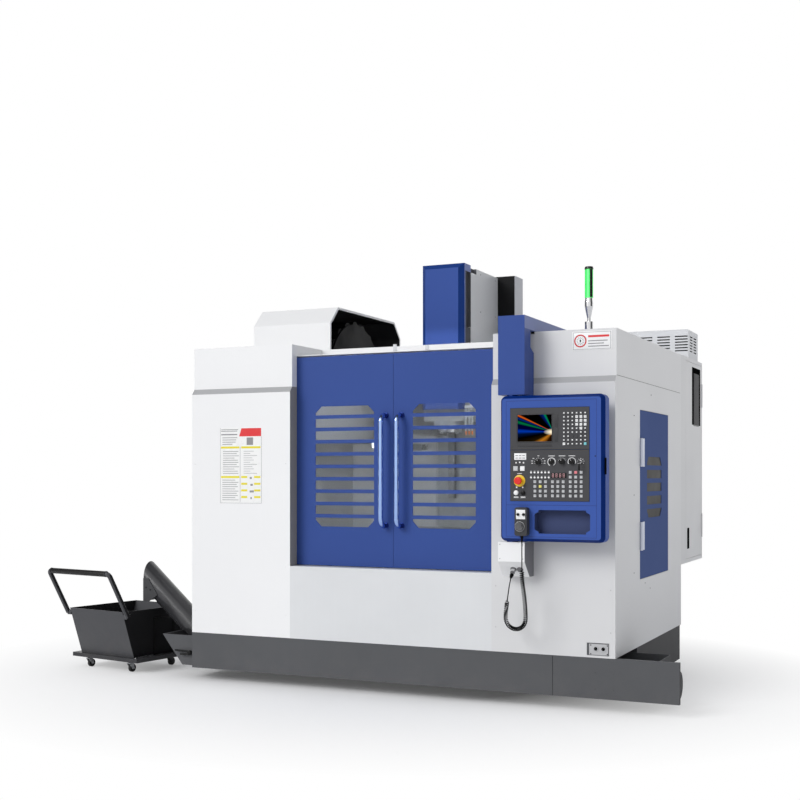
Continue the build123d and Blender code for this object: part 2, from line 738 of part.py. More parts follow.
def saddle():
    """The cross slide: carriages on the Y rails below, the X rails on top."""
    x, y = SADDLE_LENGTH / 2, SADDLE_DEPTH / 2
    body = block((-x, x), (SPINDLE_Y - y, SPINDLE_Y + y), (SADDLE_FOOT, SADDLE_TOP))
    end = (x - Y_RAIL_HALF) / 2
    for side in (-1, 1):
        under = block(sorted((side * (x + 1), side * (x - end))), (SPINDLE_Y - y - 1, SPINDLE_Y + y + 1),
                      (SADDLE_FOOT - 1, SADDLE_TOP - SADDLE_HEIGHT / 2))
        body -= under
    for side in (-1, 1):
        rail = SPINDLE_Y + side * X_RAIL_HALF
        body += block((-x, x), (rail - RAIL_WIDTH / 2, rail + RAIL_WIDTH / 2), (SADDLE_TOP, X_RAIL_TOP))
    return body


def table():
    """The work table with its T-slots, on four carriages."""
    x, y = TABLE_LENGTH / 2, TABLE_DEPTH / 2
    body = block((-x, x), (SPINDLE_Y - y, SPINDLE_Y + y), (TABLE_FOOT, TABLE_TOP))
    for n in range(T_SLOTS):
        mid = SPINDLE_Y + (n - (T_SLOTS - 1) / 2) * T_SLOT_PITCH
        low = TABLE_TOP - T_SLOT_NECK - T_SLOT_BASE_HEIGHT
        body -= block((-x - 1, x + 1), (mid - T_SLOT_WIDTH / 2, mid + T_SLOT_WIDTH / 2),
                      (low + 1, TABLE_TOP + 1))
        body -= block((-x - 1, x + 1), (mid - T_SLOT_BASE / 2, mid + T_SLOT_BASE / 2),
                      (low, low + T_SLOT_BASE_HEIGHT))
    for sx in (-1, 1):
        for sy in (-1, 1):
            cx, cy = sx * TABLE_LENGTH / 5, SPINDLE_Y + sy * X_RAIL_HALF
            body += block((cx - CARRIAGE_HALF, cx + CARRIAGE_HALF), (cy - RAIL_WIDTH, cy + RAIL_WIDTH),
                          (X_RAIL_TOP + AXIS_GAP, TABLE_FOOT))
    return body


def headstock():
    """The head casting with its slide plate and the bored nose."""
    inner = HEAD_HALF - HEAD_SHEET
    body = block((-inner, inner), (HEAD_FRONT + HEAD_FACE_DEPTH, HEAD_REAR - HEAD_SLIDE_DEPTH),
                 (NOSE_Z + NOSE_HEIGHT, HEAD_TOP))
    body += block((-HEAD_SLIDE_HALF, HEAD_SLIDE_HALF), (HEAD_REAR - HEAD_SLIDE_DEPTH, HEAD_REAR),
                  (NOSE_Z + NOSE_HEIGHT, HEAD_SKIRT_Z - FIT))
    body += block((-inner, inner), (HEAD_REAR - HEAD_SLIDE_DEPTH, HEAD_REAR), (HEAD_SKIRT_Z - FIT, HEAD_TOP))
    body += rod((0, SPINDLE_Y, NOSE_Z), (0, 0, 1), NOSE_RADIUS, NOSE_HEIGHT)
    return body - rod((0, SPINDLE_Y, NOSE_Z - 1), (0, 0, 1), SPINDLE_RADIUS + SHAFT_GAP,
                      SPINDLE_LENGTH + 2)


def spindle():
    """The spindle: nose flange, drive keys and a tapered socket for the tool."""
    body = rod((0, SPINDLE_Y, NOSE_Z), (0, 0, 1), SPINDLE_RADIUS, SPINDLE_LENGTH)
    low = NOSE_Z - AXIS_GAP - SPINDLE_FLANGE_HEIGHT
    body += rod((0, SPINDLE_Y, low), (0, 0, 1), SPINDLE_RADIUS, SPINDLE_FLANGE_HEIGHT + AXIS_GAP)
    body += rod((0, SPINDLE_Y, low), (0, 0, 1), SPINDLE_FLANGE, SPINDLE_FLANGE_HEIGHT)
    for side in (-1, 1):
        x = side * SPINDLE_FLANGE * 0.6
        body += block((x - DRIVE_KEY / 2, x + DRIVE_KEY / 2),
                      (SPINDLE_Y - DRIVE_KEY_WIDTH / 2, SPINDLE_Y + DRIVE_KEY_WIDTH / 2),
                      (low - DRIVE_KEY_HEIGHT, low + 1))
    socket = Pos(0, SPINDLE_Y, low + TAPER_DEPTH / 2) * Cone(TAPER_MOUTH, TAPER_END, TAPER_DEPTH)
    return body - socket


def head_front_cover():
    """The blue front of the head: a deep sheet pan with bevelled edges."""
    x, y0, y1 = HEAD_HALF, HEAD_FRONT, HEAD_FRONT + HEAD_FACE_DEPTH
    b = HEAD_BEVEL
    body = along_z([(-x, y1), (-x, y0 + b), (b - x, y0), (x - b, y0), (x, y0 + b), (x, y1)],
                   HEAD_SKIRT_Z, COVER_TOP)
    body -= along_x([(y0 - 1, COVER_TOP - b - 1), (y0 + b + 1, COVER_TOP + 1), (y0 - 1, COVER_TOP + 1)],
                    -x - 1, x + 1)
    s = HEAD_SHEET
    inner = along_z([(s - x, y1 + 1), (s - x, y0 + b + s / 2), (b - x + s / 2, y0 + s),
                     (x - b - s / 2, y0 + s), (x - s, y0 + b + s / 2), (x - s, y1 + 1)],
                    HEAD_SKIRT_Z - 1, COVER_TOP - b - s)
    back = y1 + HEAD_NECK - s
    crown = block((-x, x), (y1, back), (COVER_TOP - HEAD_RETURN, COVER_TOP))
    crown -= block((s - x, x - s), (y1 - s, back + 1), (COVER_TOP - HEAD_RETURN - 1, COVER_TOP - s))
    return body - inner + crown


def head_side_cover():
    """The cover of the head's sides and top, stepped in to a narrow neck behind the blue front."""
    s, t = HEAD_SHEET, HEAD_TUCK
    x, y0, y1 = HEAD_HALF, HEAD_FRONT + HEAD_FACE_DEPTH, HEAD_REAR
    wide, notch, top = y0 + HEAD_NECK, y0 + HEAD_NOTCH, COVER_TOP - 3 * s
    body = block((-x, x), (wide, y1), (HEAD_SKIRT_Z, top))
    for side in (-1, 1):
        body -= block(sorted((side * (x - t), side * (x + 1))), (wide - 1, notch),
                      (COVER_TOP - HEAD_RETURN, top + 1))
    foot, low = HEAD_TOP + s, COVER_TOP - HEAD_RETURN - s
    body += block((t - x, x - t), (y0, notch), (foot, top))
    body -= block((s - x, x - s), (wide + s, y1 + 1), (HEAD_SKIRT_Z - 1, low))
    body -= block((s - x, x - s), (notch + s, y1 + 1), (low - 1, top - s))
    body -= block((s - x, x - s), (wide - 1, wide + s + 1), (HEAD_SKIRT_Z - 1, foot))
    return body - block((t + s - x, x - t - s), (y0 - 1, notch + 2 * s), (foot - 1, top - s))


# Tool changer

def hood_profile(inset):
    """Side view of the tool hood: upright ends, sloping shoulders and a flat top."""
    y0, y1 = HOOD_FRONT + inset, HOOD_FRONT + HOOD_DEPTH - inset
    top, shoulder = ROOF_Z + HOOD_HEIGHT - inset, ROOF_Z + HOOD_SHOULDER - inset * HOOD_MITRE
    return [(y0, ROOF_Z), (y0, shoulder), (HOOD_FRONT + HOOD_FRONT_SLOPE + inset * HOOD_MITRE, top),
            (HOOD_FRONT + HOOD_DEPTH - HOOD_REAR_SLOPE - inset * HOOD_MITRE, top), (y1, shoulder), (y1, ROOF_Z)]


def tool_hood():
    """The hood over the magazine, open towards the spindle, with a folded rim."""
    x0 = -HOOD_LEFT
    hood = along_x(hood_profile(0), x0, HOOD_X)
    hood -= along_x(hood_profile(SHEET), x0 + SHEET, HOOD_X - SHEET)
    return hood - along_x(hood_profile(HOOD_RIM), x0 + 2 * SHEET, HOOD_X + 1)


def magazine_bracket():
    """Carries the magazine disc's hub from the column, and the arm's cam box beside it."""
    t, reach = BRACKET_THICK, BRACKET_HEIGHT / 2
    z0, z1 = MAGAZINE_Z - reach, MAGAZINE_Z + reach
    rear = COLUMN_FACE + t
    arm = along_x([(MAGAZINE_Y, z0), (MAGAZINE_Y, z1), (rear + t, z1), (rear + t, CAM_BOX_FOOT),
                   (rear, CAM_BOX_FOOT)], BRACKET_X, BRACKET_X + t)
    arm += block((BRACKET_X, -COLUMN_HALF), (rear, rear + t), (CAM_BOX_FOOT, z1))
    arm += rod((BRACKET_X, MAGAZINE_Y, MAGAZINE_Z), (1, 0, 0), reach, t)
    arm += rod((BRACKET_X, MAGAZINE_Y, MAGAZINE_Z), (-1, 0, 0), MAGAZINE_HUB - SHAFT_GAP,
               BRACKET_GAP + MAGAZINE_PLATE)
    x0, x1 = -ARM_CENTRE_X - CAM_BOX_HALF, -ARM_CENTRE_X + CAM_BOX_HALF
    box = block((x0, x1), (CAM_BOX_FRONT, COLUMN_FACE), (CAM_BOX_FOOT, CAM_BOX_FOOT + CAM_BOX_HEIGHT))
    box = chamfer(box.edges().group_by(Axis.Y)[0], CAM_BOX_BEVEL)
    return group(arm, box)


def tool_magazine():
    """The disc with its ring of tool pots, their mouths outwards, bored for a tool's shank."""
    start = (-MAGAZINE_X, MAGAZINE_Y, MAGAZINE_Z)
    disc = rod(start, (-1, 0, 0), POT_CIRCLE + POT_RADIUS / 2, MAGAZINE_PLATE)
    disc -= rod((1 - MAGAZINE_X, MAGAZINE_Y, MAGAZINE_Z), (-1, 0, 0), MAGAZINE_HUB, MAGAZINE_PLATE + 2)
    places = [(MAGAZINE_Y + POT_CIRCLE * sin(2 * pi * n / POTS),
               MAGAZINE_Z - POT_CIRCLE * cos(2 * pi * n / POTS)) for n in range(POTS)]
    for y, z in places:
        disc += rod((POT_MOUTH_X, y, z), (1, 0, 0), POT_RADIUS, POT_LENGTH + MAGAZINE_PLATE / 2)
    for y, z in places:
        disc -= rod((POT_MOUTH_X - 1, y, z), (1, 0, 0), POT_BORE, POT_DEPTH + 1)
    return disc


def tool_arm():
    """The double gripper arm under the cam box, parked clear of spindle and magazine."""
    cx, cy, reach = -ARM_CENTRE_X, SPINDLE_Y, ARM_CENTRE_X
    arm = block((cx - ARM_WIDTH / 2, cx + ARM_WIDTH / 2), (cy - reach, cy + reach),
                (ARM_Z, ARM_Z + ARM_THICK))
    for side in (-1, 1):
        arm += rod((cx, cy + side * reach, ARM_Z), (0, 0, 1), GRIPPER_RADIUS, ARM_THICK)
    for side in (-1, 1):
        arm -= rod((cx, cy + side * reach, ARM_Z - 1), (0, 0, 1), GRIPPER_MOUTH, ARM_THICK + 2)
        mouth = (cx, cx + side * 2 * GRIPPER_RADIUS)
        arm -= block(sorted(mouth), (cy + side * reach - GRIPPER_MOUTH * 0.8,
                                     cy + side * reach + GRIPPER_MOUTH * 0.8), (ARM_Z - 1, ARM_Z + ARM_THICK + 1))
    return arm + rod((cx, cy, ARM_Z), (0, 0, 1), ARM_SHAFT, CAM_BOX_FOOT - AXIS_GAP - ARM_Z)


# Tanks and chip conveyor

def coolant_tanks():
    """One open tank each side of the bed, under the enclosure's floor."""
    tank = block((TANK_INNER, HALF - 2 * SHEET), (TANK_FRONT, SIDE_DEPTH), (TANK_FOOT, PANEL_FOOT))
    tank -= block((TANK_INNER + SHEET, HALF - 3 * SHEET), (TANK_FRONT + SHEET, SIDE_DEPTH - SHEET),
                  (TANK_FOOT + SHEET, PANEL_FOOT + 1))
    return group(mirror_x(tank), tank)


def front_skirt():
    """The long dark skirt along the foot of the machine."""
    x1 = HALF + SKIRT_OVERHANG
    points = [(0, SKIRT_FOOT), (0, PANEL_FOOT), (SKIRT_DEPTH, PANEL_FOOT), (SKIRT_DEPTH, PANEL_FOOT - SKIRT_FOLD),
              (SHEET, PANEL_FOOT - SKIRT_FOLD), (SHEET, SKIRT_FOOT + SKIRT_FOLD),
              (SKIRT_DEPTH, SKIRT_FOOT + SKIRT_FOLD),
              (SKIRT_DEPTH, SKIRT_FOOT)]
    skirt = along_x(points, -HALF, x1)
    return skirt + block((x1 - SHEET, x1), (0, SKIRT_DEPTH), (SKIRT_FOOT, PANEL_FOOT))


def trough_section(x0, x1, inset):
    """The trough's body: upright sides, with a round channel under the screw when inset."""
    y0, y1 = SKIRT_DEPTH + inset, SKIRT_DEPTH + TROUGH_DEPTH - inset
    if not inset:
        low = SCREW_Z - SCREW_RADIUS - SCREW_GAP - SHEET
        points = [(y0, TROUGH_FOOT), (y0, TROUGH_TOP), (y1, TROUGH_TOP), (y1, TROUGH_FOOT),
                  (SCREW_Y + SCREW_RADIUS + SCREW_GAP, low), (SCREW_Y - SCREW_RADIUS - SCREW_GAP, low)]
        return along_x(points, x0, x1)
    reach = SCREW_RADIUS + SCREW_GAP
    points = [(y0, SCREW_Z + reach), (y0, TROUGH_TOP + 1), (y1, TROUGH_TOP + 1), (y1, SCREW_Z + reach),
              (SCREW_Y + reach, SCREW_Z), (SCREW_Y - reach, SCREW_Z)]
    return along_x(points, x0, x1) + rod((x0, SCREW_Y, SCREW_Z), (1, 0, 0), reach, x1 - x0)


def tube_axis_point(x):
    """A point of the inclined tube's axis, at a distance left of the middle."""
    return (-x, SCREW_Y, SCREW_Z + TUBE_SLOPE * (x - HALF))


def tube_bar(radius, x_from, x_to):
    """A round bar along the inclined tube's axis."""
    a, b = Vector(tube_axis_point(x_from)), Vector(tube_axis_point(x_to))
    return rod(a, (b - a).normalized(), radius, (b - a).length)


def chip_trough():
    """The open trough behind the skirt; its left end is raked and meets the inclined tube."""
    rake, left, right = TROUGH_RAKE, TROUGH_LEFT, TROUGH_RIGHT
    trough = trough_section(-left, right, 0) - trough_section(-left + rake, right - SHEET, SHEET)
    front = SKIRT_DEPTH
    toe = TROUGH_FOOT - TROUGH_TOE
    wedge = [(-left - 1, toe), (-left + rake + TROUGH_TOE / 3, toe),
             (-left + rake, TROUGH_FOOT), (-left, TROUGH_TOP), (-left - 1, TROUGH_TOP)]
    trough -= along_y(wedge, front - 1, front + TROUGH_DEPTH + 1)
    scoop = [(-left + 2 * SHEET, TROUGH_TOP + 1), (-left + rake + 1, TROUGH_TOP + 1),
             (-left + rake + 1, TROUGH_FOOT + SCOOP_UP), (-left + rake * 0.85 + SHEET, TROUGH_FOOT + SCOOP_UP)]
    trough -= along_y(scoop, front + SHEET, front + TROUGH_DEPTH - SHEET)
    return trough - tube_bar(TUBE_RADIUS, HALF + TUBE_START, TUBE_LEFT + TUBE_SPARE)


def conveyor_tube():
    """The inclined tube, cut upright at its outlet, with a chute over the cart."""
    tube = tube_bar(TUBE_RADIUS, HALF + TUBE_START, TUBE_LEFT + TUBE_SPARE)
    tube -= tube_bar(TUBE_RADIUS - TUBE_WALL, HALF, TUBE_LEFT + TUBE_SPARE)
    x = -TUBE_LEFT
    tube -= block((x - 2 * TUBE_SPARE, x), (0, 2 * SCREW_Y), (0, ROOF_Z))
    end = tube_bar(TUBE_RADIUS, TUBE_LEFT - TUBE_SPARE, TUBE_LEFT + TUBE_SPARE)
    cap = end & block((x, x + TUBE_WALL), (0, 2 * SCREW_Y), (0, ROOF_Z))
    axis_z = tube_axis_point(TUBE_LEFT)[2]
    drop = TUBE_RADIUS / cos(radians(TUBE_ANGLE))
    y0, y1 = SCREW_Y - TUBE_RADIUS, SCREW_Y + TUBE_RADIUS
    z0 = axis_z - CHUTE_DROP
    side = [(x, z0), (x, axis_z), (x + CHUTE_LIP, axis_z), (x + CHUTE_DEPTH, axis_z - drop),
            (x + CHUTE_DEPTH * 0.4, z0)]
    chute = along_y(side, y0 - TUBE_WALL, y1 + TUBE_WALL) - along_y(
        [(x + TUBE_WALL, z0 - 1), (x + TUBE_WALL, axis_z), (x + CHUTE_LIP, axis_z + CHUTE_LIP),
         (x + 2 * CHUTE_DEPTH, axis_z), (x + 2 * CHUTE_DEPTH, z0 - 1)], y0, y1)
    tube = tube + cap + (chute - tube_bar(TUBE_RADIUS, TUBE_LEFT - 2 * TUBE_SPARE, TUBE_LEFT + TUBE_SPARE))
    return tube - block((x + TUBE_WALL, x + CHUTE_DEPTH * 0.75),
                        (y0 + OUTLET_INSET, y1 - OUTLET_INSET), (z0 - TUBE_RADIUS, axis_z))


def conveyor_gearmotor():
    """The gearmotor that turns the screw, at the trough's right end."""
    x = TROUGH_RIGHT
    body = rod((x, SCREW_Y, SCREW_Z), (1, 0, 0), MOTOR_RADIUS, MOTOR_OUT)
    body = chamfer(body.edges().group_by(Axis.X)[-1], 8)
    gearbox = block((x, x + MOTOR_OUT * 0.5), (SCREW_Y, SCREW_Y + 1.6 * MOTOR_RADIUS),
                    (SCREW_Z - MOTOR_RADIUS * 0.6, SCREW_Z + MOTOR_RADIUS * 0.6))
    return body + gearbox


def auger():
    """The chip screw: a shaft with one helical flight."""
    length = SCREW_PITCH * SCREW_TURNS
    x0 = -length / 2
    start = -HALF + SHAFT_END
    shaft = rod((start, SCREW_Y, SCREW_Z), (1, 0, 0), SCREW_SHAFT, TROUGH_RIGHT - SHEET - 1 - start)
    path = Helix(SCREW_PITCH, length, (SCREW_SHAFT + SCREW_RADIUS) / 2)
    blade = Plane(path @ 0, x_dir=(1, 0, 0), z_dir=path % 0) * Rectangle(
        SCREW_RADIUS - SCREW_SHAFT + 4, FLIGHT_THICK)
    flight = sweep(blade, path, is_frenet=True)
    flight = Pos(x0, SCREW_Y, SCREW_Z) * Rot(0, 90, 0) * flight
    return shaft + flight


# Side door

def side_door():
    """The blue service door on the right, with slots, edge folds and two hinges."""
    y0, y1 = SIDE_DOOR_FRONT, SIDE_DOOR_FRONT + SIDE_DOOR_DEPTH
    z0, z1 = SIDE_DOOR_FOOT, SIDE_DOOR_FOOT + SIDE_DOOR_HEIGHT
    door = block((HALF - SIDE_DOOR_THICK, HALF), (y0, y1), (z0, z1))
    door -= block((HALF - SIDE_DOOR_THICK - 1, HALF - DOOR_SKIN), (y0 + DOOR_SKIN, y1 - DOOR_SKIN),
                  (z0 + DOOR_SKIN, z1 - DOOR_SKIN))
    opening, bars = slotted_window(SIDE_WINDOW_FRONT + SIDE_WINDOW_DEPTH / 2, SIDE_WINDOW_FOOT,
                                   SIDE_WINDOW_DEPTH, SIDE_SLOTS, SIDE_SLOT, SIDE_SLOT_PITCH,
                                   WINDOW_CORNER)
    cutter = along_x(opening, HALF - DOOR_SKIN - 1, HALF + 1)
    for left, right, low, high in bars:
        cutter -= block((HALF - DOOR_SKIN - 2, HALF + 2), (left, right), (low, high))
    door -= cutter
    for z in (HINGE_LOWER, HINGE_UPPER):
        door += block((HALF, HALF + HINGE_LEAF_THICK), (y0 + HINGE_RADIUS, y0 + HINGE_LEAF),
                      (z, z + HINGE_HEIGHT))
        door += rod((HALF + HINGE_RADIUS, y0 + HINGE_RADIUS, z), (0, 0, 1), HINGE_RADIUS, HINGE_HEIGHT)
    return door


def side_door_glass():
    """The pane behind the side door's slots."""
    margin = GLASS_MARGIN
    top = SIDE_WINDOW_FOOT + (SIDE_SLOTS - 1) * SIDE_SLOT_PITCH + SIDE_SLOT
    return block((HALF - DOOR_SKIN - GLASS, HALF - DOOR_SKIN),
                 (SIDE_WINDOW_FRONT - margin, SIDE_WINDOW_FRONT + SIDE_WINDOW_DEPTH + margin),
                 (SIDE_WINDOW_FOOT - margin, top + margin))


# Electrical cabinet

def electrical_cabinet():
    """The hollow cabinet at the rear right, open on its outer side for the door."""
    x0, x1 = HALF - CABINET_WIDTH, HALF
    y0, y1 = CABINET_FRONT, CABINET_FRONT + CABINET_DEPTH
    body = block((x0, x1), (y0, y1), (CABINET_FOOT, CABINET_TOP))
    body -= block((x0 + SHEET, x1 - SHEET), (y0 + SHEET, y1 - SHEET),
                  (CABINET_FOOT + SHEET, CABINET_TOP - SHEET))
    d0, d1 = CABINET_DOOR_FRONT - FIT, CABINET_DOOR_FRONT + CABINET_DOOR_DEPTH + FIT
    margin = CABINET_DOOR_MARGIN - FIT
    return body - block((x1 - SHEET - 1, x1 + 1), (d0, d1), (CABINET_FOOT + margin, CABINET_TOP - margin))


def cabinet_door():
    """The cabinet's door: vent recess with upright slats, latch recess and hinge knuckles."""
    y0, y1 = CABINET_DOOR_FRONT, CABINET_DOOR_FRONT + CABINET_DOOR_DEPTH
    z0, z1 = CABINET_FOOT + CABINET_DOOR_MARGIN, CABINET_TOP - CABINET_DOOR_MARGIN
    thick = SIDE_DOOR_THICK
    door = block((HALF - thick, HALF), (y0, y1), (z0, z1))
    door -= block((HALF - thick - 1, HALF - 2 * VENT_SET), (y0 + DOOR_SKIN, y1 - DOOR_SKIN),
                  (z0 + DOOR_SKIN, z1 - DOOR_SKIN))
    pitch = VENT_DEPTH / VENT_SLATS
    for n in range(VENT_SLATS):
        y = VENT_FRONT + n * pitch
        door -= block((HALF - VENT_SET, HALF + 1), (y, y + pitch * 0.7), (VENT_FOOT, VENT_FOOT + VENT_HEIGHT))
    door -= block((HALF - VENT_SET, HALF + 1), (LATCH_FRONT, LATCH_FRONT + LATCH_WIDTH),
                  (LATCH_FOOT, LATCH_FOOT + LATCH_HEIGHT))
    for z in (z0 + KNUCKLE_IN, z1 - KNUCKLE_IN - HINGE_HEIGHT):
        knuckle = rod((HALF + KNUCKLE, y1 - KNUCKLE, z), (0, 0, 1), KNUCKLE, HINGE_HEIGHT)
        door += knuckle + block((HALF, HALF + KNUCKLE), (y1 - 2 * KNUCKLE, y1), (z, z + HINGE_HEIGHT))
    return door


def transformer_box():
    """The vented box on the cabinet, with rows of slots in front and on the side."""
    x1 = HALF - BOX_SET
    x0 = x1 - BOX_WIDTH
    y0, y1 = BOX_FRONT, BOX_FRONT + BOX_DEPTH
    z0, z1 = CABINET_TOP, CABINET_TOP + BOX_HEIGHT
    box = block((x0, x1), (y0, y1), (z0, z1))
    box = chamfer(box.edges().group_by(Axis.Z)[-1], BOX_BEVEL)
    box -= block((x0 + SHEET, x1 - SHEET), (y0 + SHEET, y1 - SHEET), (z0 - 1, z1 - 2 * SHEET))
    columns = int((BOX_WIDTH - LOUVRE) // LOUVRE_PITCH) + 1
    side_columns = int((BOX_DEPTH - LOUVRE) // LOUVRE_PITCH) + 1
    for row in range(LOUVRE_ROWS):
        z = z1 - LOUVRE_TOP - row * LOUVRE_ROW_PITCH
        for n in range(columns):
            x = x1 - (BOX_WIDTH - (columns - 1) * LOUVRE_PITCH - LOUVRE) / 2 - n * LOUVRE_PITCH
            box -= block((x - LOUVRE, x), (y0 - 1, y0 + SHEET + 1), (z - LOUVRE_HEIGHT, z))
        for n in range(side_columns):
            y = y0 + (BOX_DEPTH - (side_columns - 1) * LOUVRE_PITCH - LOUVRE) / 2 + n * LOUVRE_PITCH
            box -= block((x1 - SHEET - 1, x1 + 1), (y, y + LOUVRE), (z - LOUVRE_HEIGHT, z))
    return box


# Operator panel

def panel_arm():
    """The blue arm: over the roof, down in front of the fascia, ending above the panel."""
    points = [(-ARM_FRONT, ARM_FOOT), (-ARM_FRONT, ROOF_Z + ARM_RISE), (ARM_BACK, ROOF_Z + ARM_RISE),
              (ARM_BACK, ROOF_Z), (ARM_NECK - ARM_FRONT, ROOF_Z), (ARM_NECK - ARM_FRONT, ARM_STEP + ARM_SLOPE),
              (0, ARM_STEP), (0, ARM_FOOT)]
    return along_x(points, ARM_LEFT, ARM_LEFT + ARM_BOX)


def socket_box():
    """The white box under the panel; its slanted face holds the pendant's socket."""
    points = [(0, SOCKET_TOP), (-ARM_FRONT, SOCKET_TOP), (-ARM_FRONT, SOCKET_KNEE),
              (SOCKET_TUCK - ARM_FRONT, SOCKET_FOOT), (0, SOCKET_FOOT)]
    return along_x(points, ARM_LEFT, ARM_LEFT + ARM_BOX)


def panel_housing():
    """The panel's blue housing: bevelled front, seats for two units and a tray with cut corners."""
    x0, x1 = PANEL_LEFT, PANEL_LEFT + PANEL_WIDTH
    front = -PANEL_FRONT
    body = block((x0, x1), (front, -PANEL_REAR), (PANEL_Z, PANEL_TOP))
    body = fillet(body.edges().filter_by(Axis.Y), PANEL_ROUND)
    rim = body.faces().sort_by(Axis.Y)[0]
    body = chamfer(rim.edges(), PANEL_BEVEL_DEPTH, PANEL_BEVEL, reference=rim)
    seat_depth = UNIT_THICK - UNIT_PROUD
    body -= block((SCREEN_LEFT, SCREEN_LEFT + SCREEN_WIDTH), (front - 1, front + seat_depth),
                  (SCREEN_FOOT - KEYS_HEIGHT - FIT, SCREEN_FOOT + SCREEN_HEIGHT))
    a, b, n = TRAY_LEFT, TRAY_LEFT + TRAY_WIDTH, TRAY_NOTCH
    c, d = TRAY_FOOT, TRAY_FOOT + TRAY_HEIGHT
    tray = [(a + n, c), (b - n, c), (b - n, c + n * 0.4), (b, c + n), (b, d - n), (b - n, d - n * 0.4),
            (b - n, d), (a + n, d), (a + n, d - n * 0.4), (a, d - n), (a, c + n), (a + n, c + n * 0.4)]
    body -= along_y(tray, front - 1, front + TRAY_DEPTH)
    for z, length in ((PANEL_TOP, ARM_FOOT - PANEL_TOP - SWIVEL_GAP),
                      (SOCKET_TOP + SWIVEL_GAP, PANEL_Z - SOCKET_TOP - SWIVEL_GAP)):
        body += rod((SWIVEL_X, -SWIVEL_Y, z), (0, 0, 1), SWIVEL_RADIUS, length)
    return body


def key_grid(x0, z0, columns, rows, pitch_x, pitch_z, size, front):
    """Small square keys standing out of a unit's front, from the lower left key."""
    keys = []
    for i in range(columns):
        for j in range(rows):
            x, z = x0 + i * pitch_x, z0 + j * pitch_z
            keys.append(block((x - size / 2, x + size / 2), (front - KEY_RISE, front + 1),
                              (z - size / 2, z + size / 2)))
    return keys


def display_unit():
    """The upper unit: a sunk screen on the left and its keypad on the right."""
    front = -PANEL_FRONT - UNIT_PROUD
    x0, z0 = SCREEN_LEFT, SCREEN_FOOT
    unit = block((x0, x0 + SCREEN_WIDTH), (front, front + UNIT_THICK), (z0, z0 + SCREEN_HEIGHT))
    unit -= block((x0 + DISPLAY_IN, x0 + DISPLAY_IN + DISPLAY_WIDTH), (front - 1, front + UNIT_THICK / 3),
                  (z0 + DISPLAY_UP, z0 + DISPLAY_UP + DISPLAY_HEIGHT))
    keys_x = x0 + SCREEN_WIDTH - KEYS_IN - (KEY_COLUMNS - 1) * KEY_PITCH_X
    unit += key_grid(keys_x, z0 + KEYS_UP, KEY_COLUMNS, KEY_ROWS, KEY_PITCH_X, KEY_PITCH_Z, KEY, front)
    return unit


def key_panel():
    """The lower unit: three key blocks, four rotary switches, key switch and push buttons."""
    front = -PANEL_FRONT - UNIT_PROUD
    x0, z1 = SCREEN_LEFT, SCREEN_FOOT - FIT
    unit = block((x0, x0 + SCREEN_WIDTH), (front, front + UNIT_THICK), (z1 - KEYS_HEIGHT, z1))
    for left in PAD_LEFTS:
        rows = PAD_ROWS + 2 if left == PAD_LEFTS[-1] else PAD_ROWS
        unit += key_grid(x0 + left, z1 - PAD_DOWN, PAD_COLUMNS, rows, PAD_PITCH_X, PAD_PITCH_Z,
                         PAD_KEY, front)
    for x in KNOB_PLACES:
        unit += rod((x0 + x, front, z1 - KNOB_DOWN), (0, -1, 0), KNOB_RADIUS, KNOB_LENGTH)
    unit += rod((x0 + KEY_SWITCH, front, z1 - KNOB_DOWN), (0, -1, 0), KNOB_RADIUS * 0.7, KNOB_LENGTH / 2)
    half = SQUARE_KEY / 2
    for x in SQUARE_PLACES:
        unit += block((x0 + x - half, x0 + x + half), (front - 2 * KEY_RISE, front + 1),
                      (z1 - SQUARE_DOWN - half, z1 - SQUARE_DOWN + half))
        unit += rod((x0 + x + KEY_RISE, front, z1 - ROUND_DOWN), (0, -1, 0), KNOB_RADIUS * 0.8,
                    KNOB_LENGTH / 2)
    unit += rod((x0 + STOP_IN, front, z1 - STOP_DOWN), (0, -1, 0), STOP_COLLAR, KEY_RISE)
    return unit


def emergency_stop():
    """The red mushroom button, standing clear of its collar by its travel."""
    front = -PANEL_FRONT - UNIT_PROUD - KEY_RISE
    x, z = SCREEN_LEFT + STOP_IN, SCREEN_FOOT - FIT - STOP_DOWN
    stem = rod((x, front - AXIS_GAP, z), (0, -1, 0), STOP_RADIUS * 0.6, STOP_RISE)
    cap = rod((x, front - STOP_RISE + STOP_CAP - 2, z), (0, -1, 0), STOP_RADIUS, STOP_CAP)
    return Pos(0, -STOP_TRAVEL, 0) * (stem + fillet(cap.edges().group_by(Axis.Y)[0], 5))


def pendant():
    """The hand-held pendant with its magnet back against the panel."""
    front = -PANEL_FRONT
    x1, z1 = PENDANT_LEFT + PENDANT_WIDTH, PENDANT_FOOT + PENDANT_HEIGHT
    body = block((PENDANT_LEFT, x1), (front - PENDANT_DEPTH, front), (PENDANT_FOOT, z1))
    body = fillet(body.edges().filter_by(Axis.Y), PENDANT_ROUND)
    for x in (PENDANT_WIDTH * 0.3, PENDANT_WIDTH * 0.75):
        body += rod((PENDANT_LEFT + x, front - PENDANT_DEPTH, z1 - SELECTOR_DOWN), (0, -1, 0),
                    SELECTOR_RADIUS, SELECTOR_RISE)
    exit_x, exit_y = CORD_DROP_END[0], CORD_DROP_END[1]
    return body + rod((exit_x, exit_y, PENDANT_FOOT), (0, 0, -1), CORD, 3 * CORD)


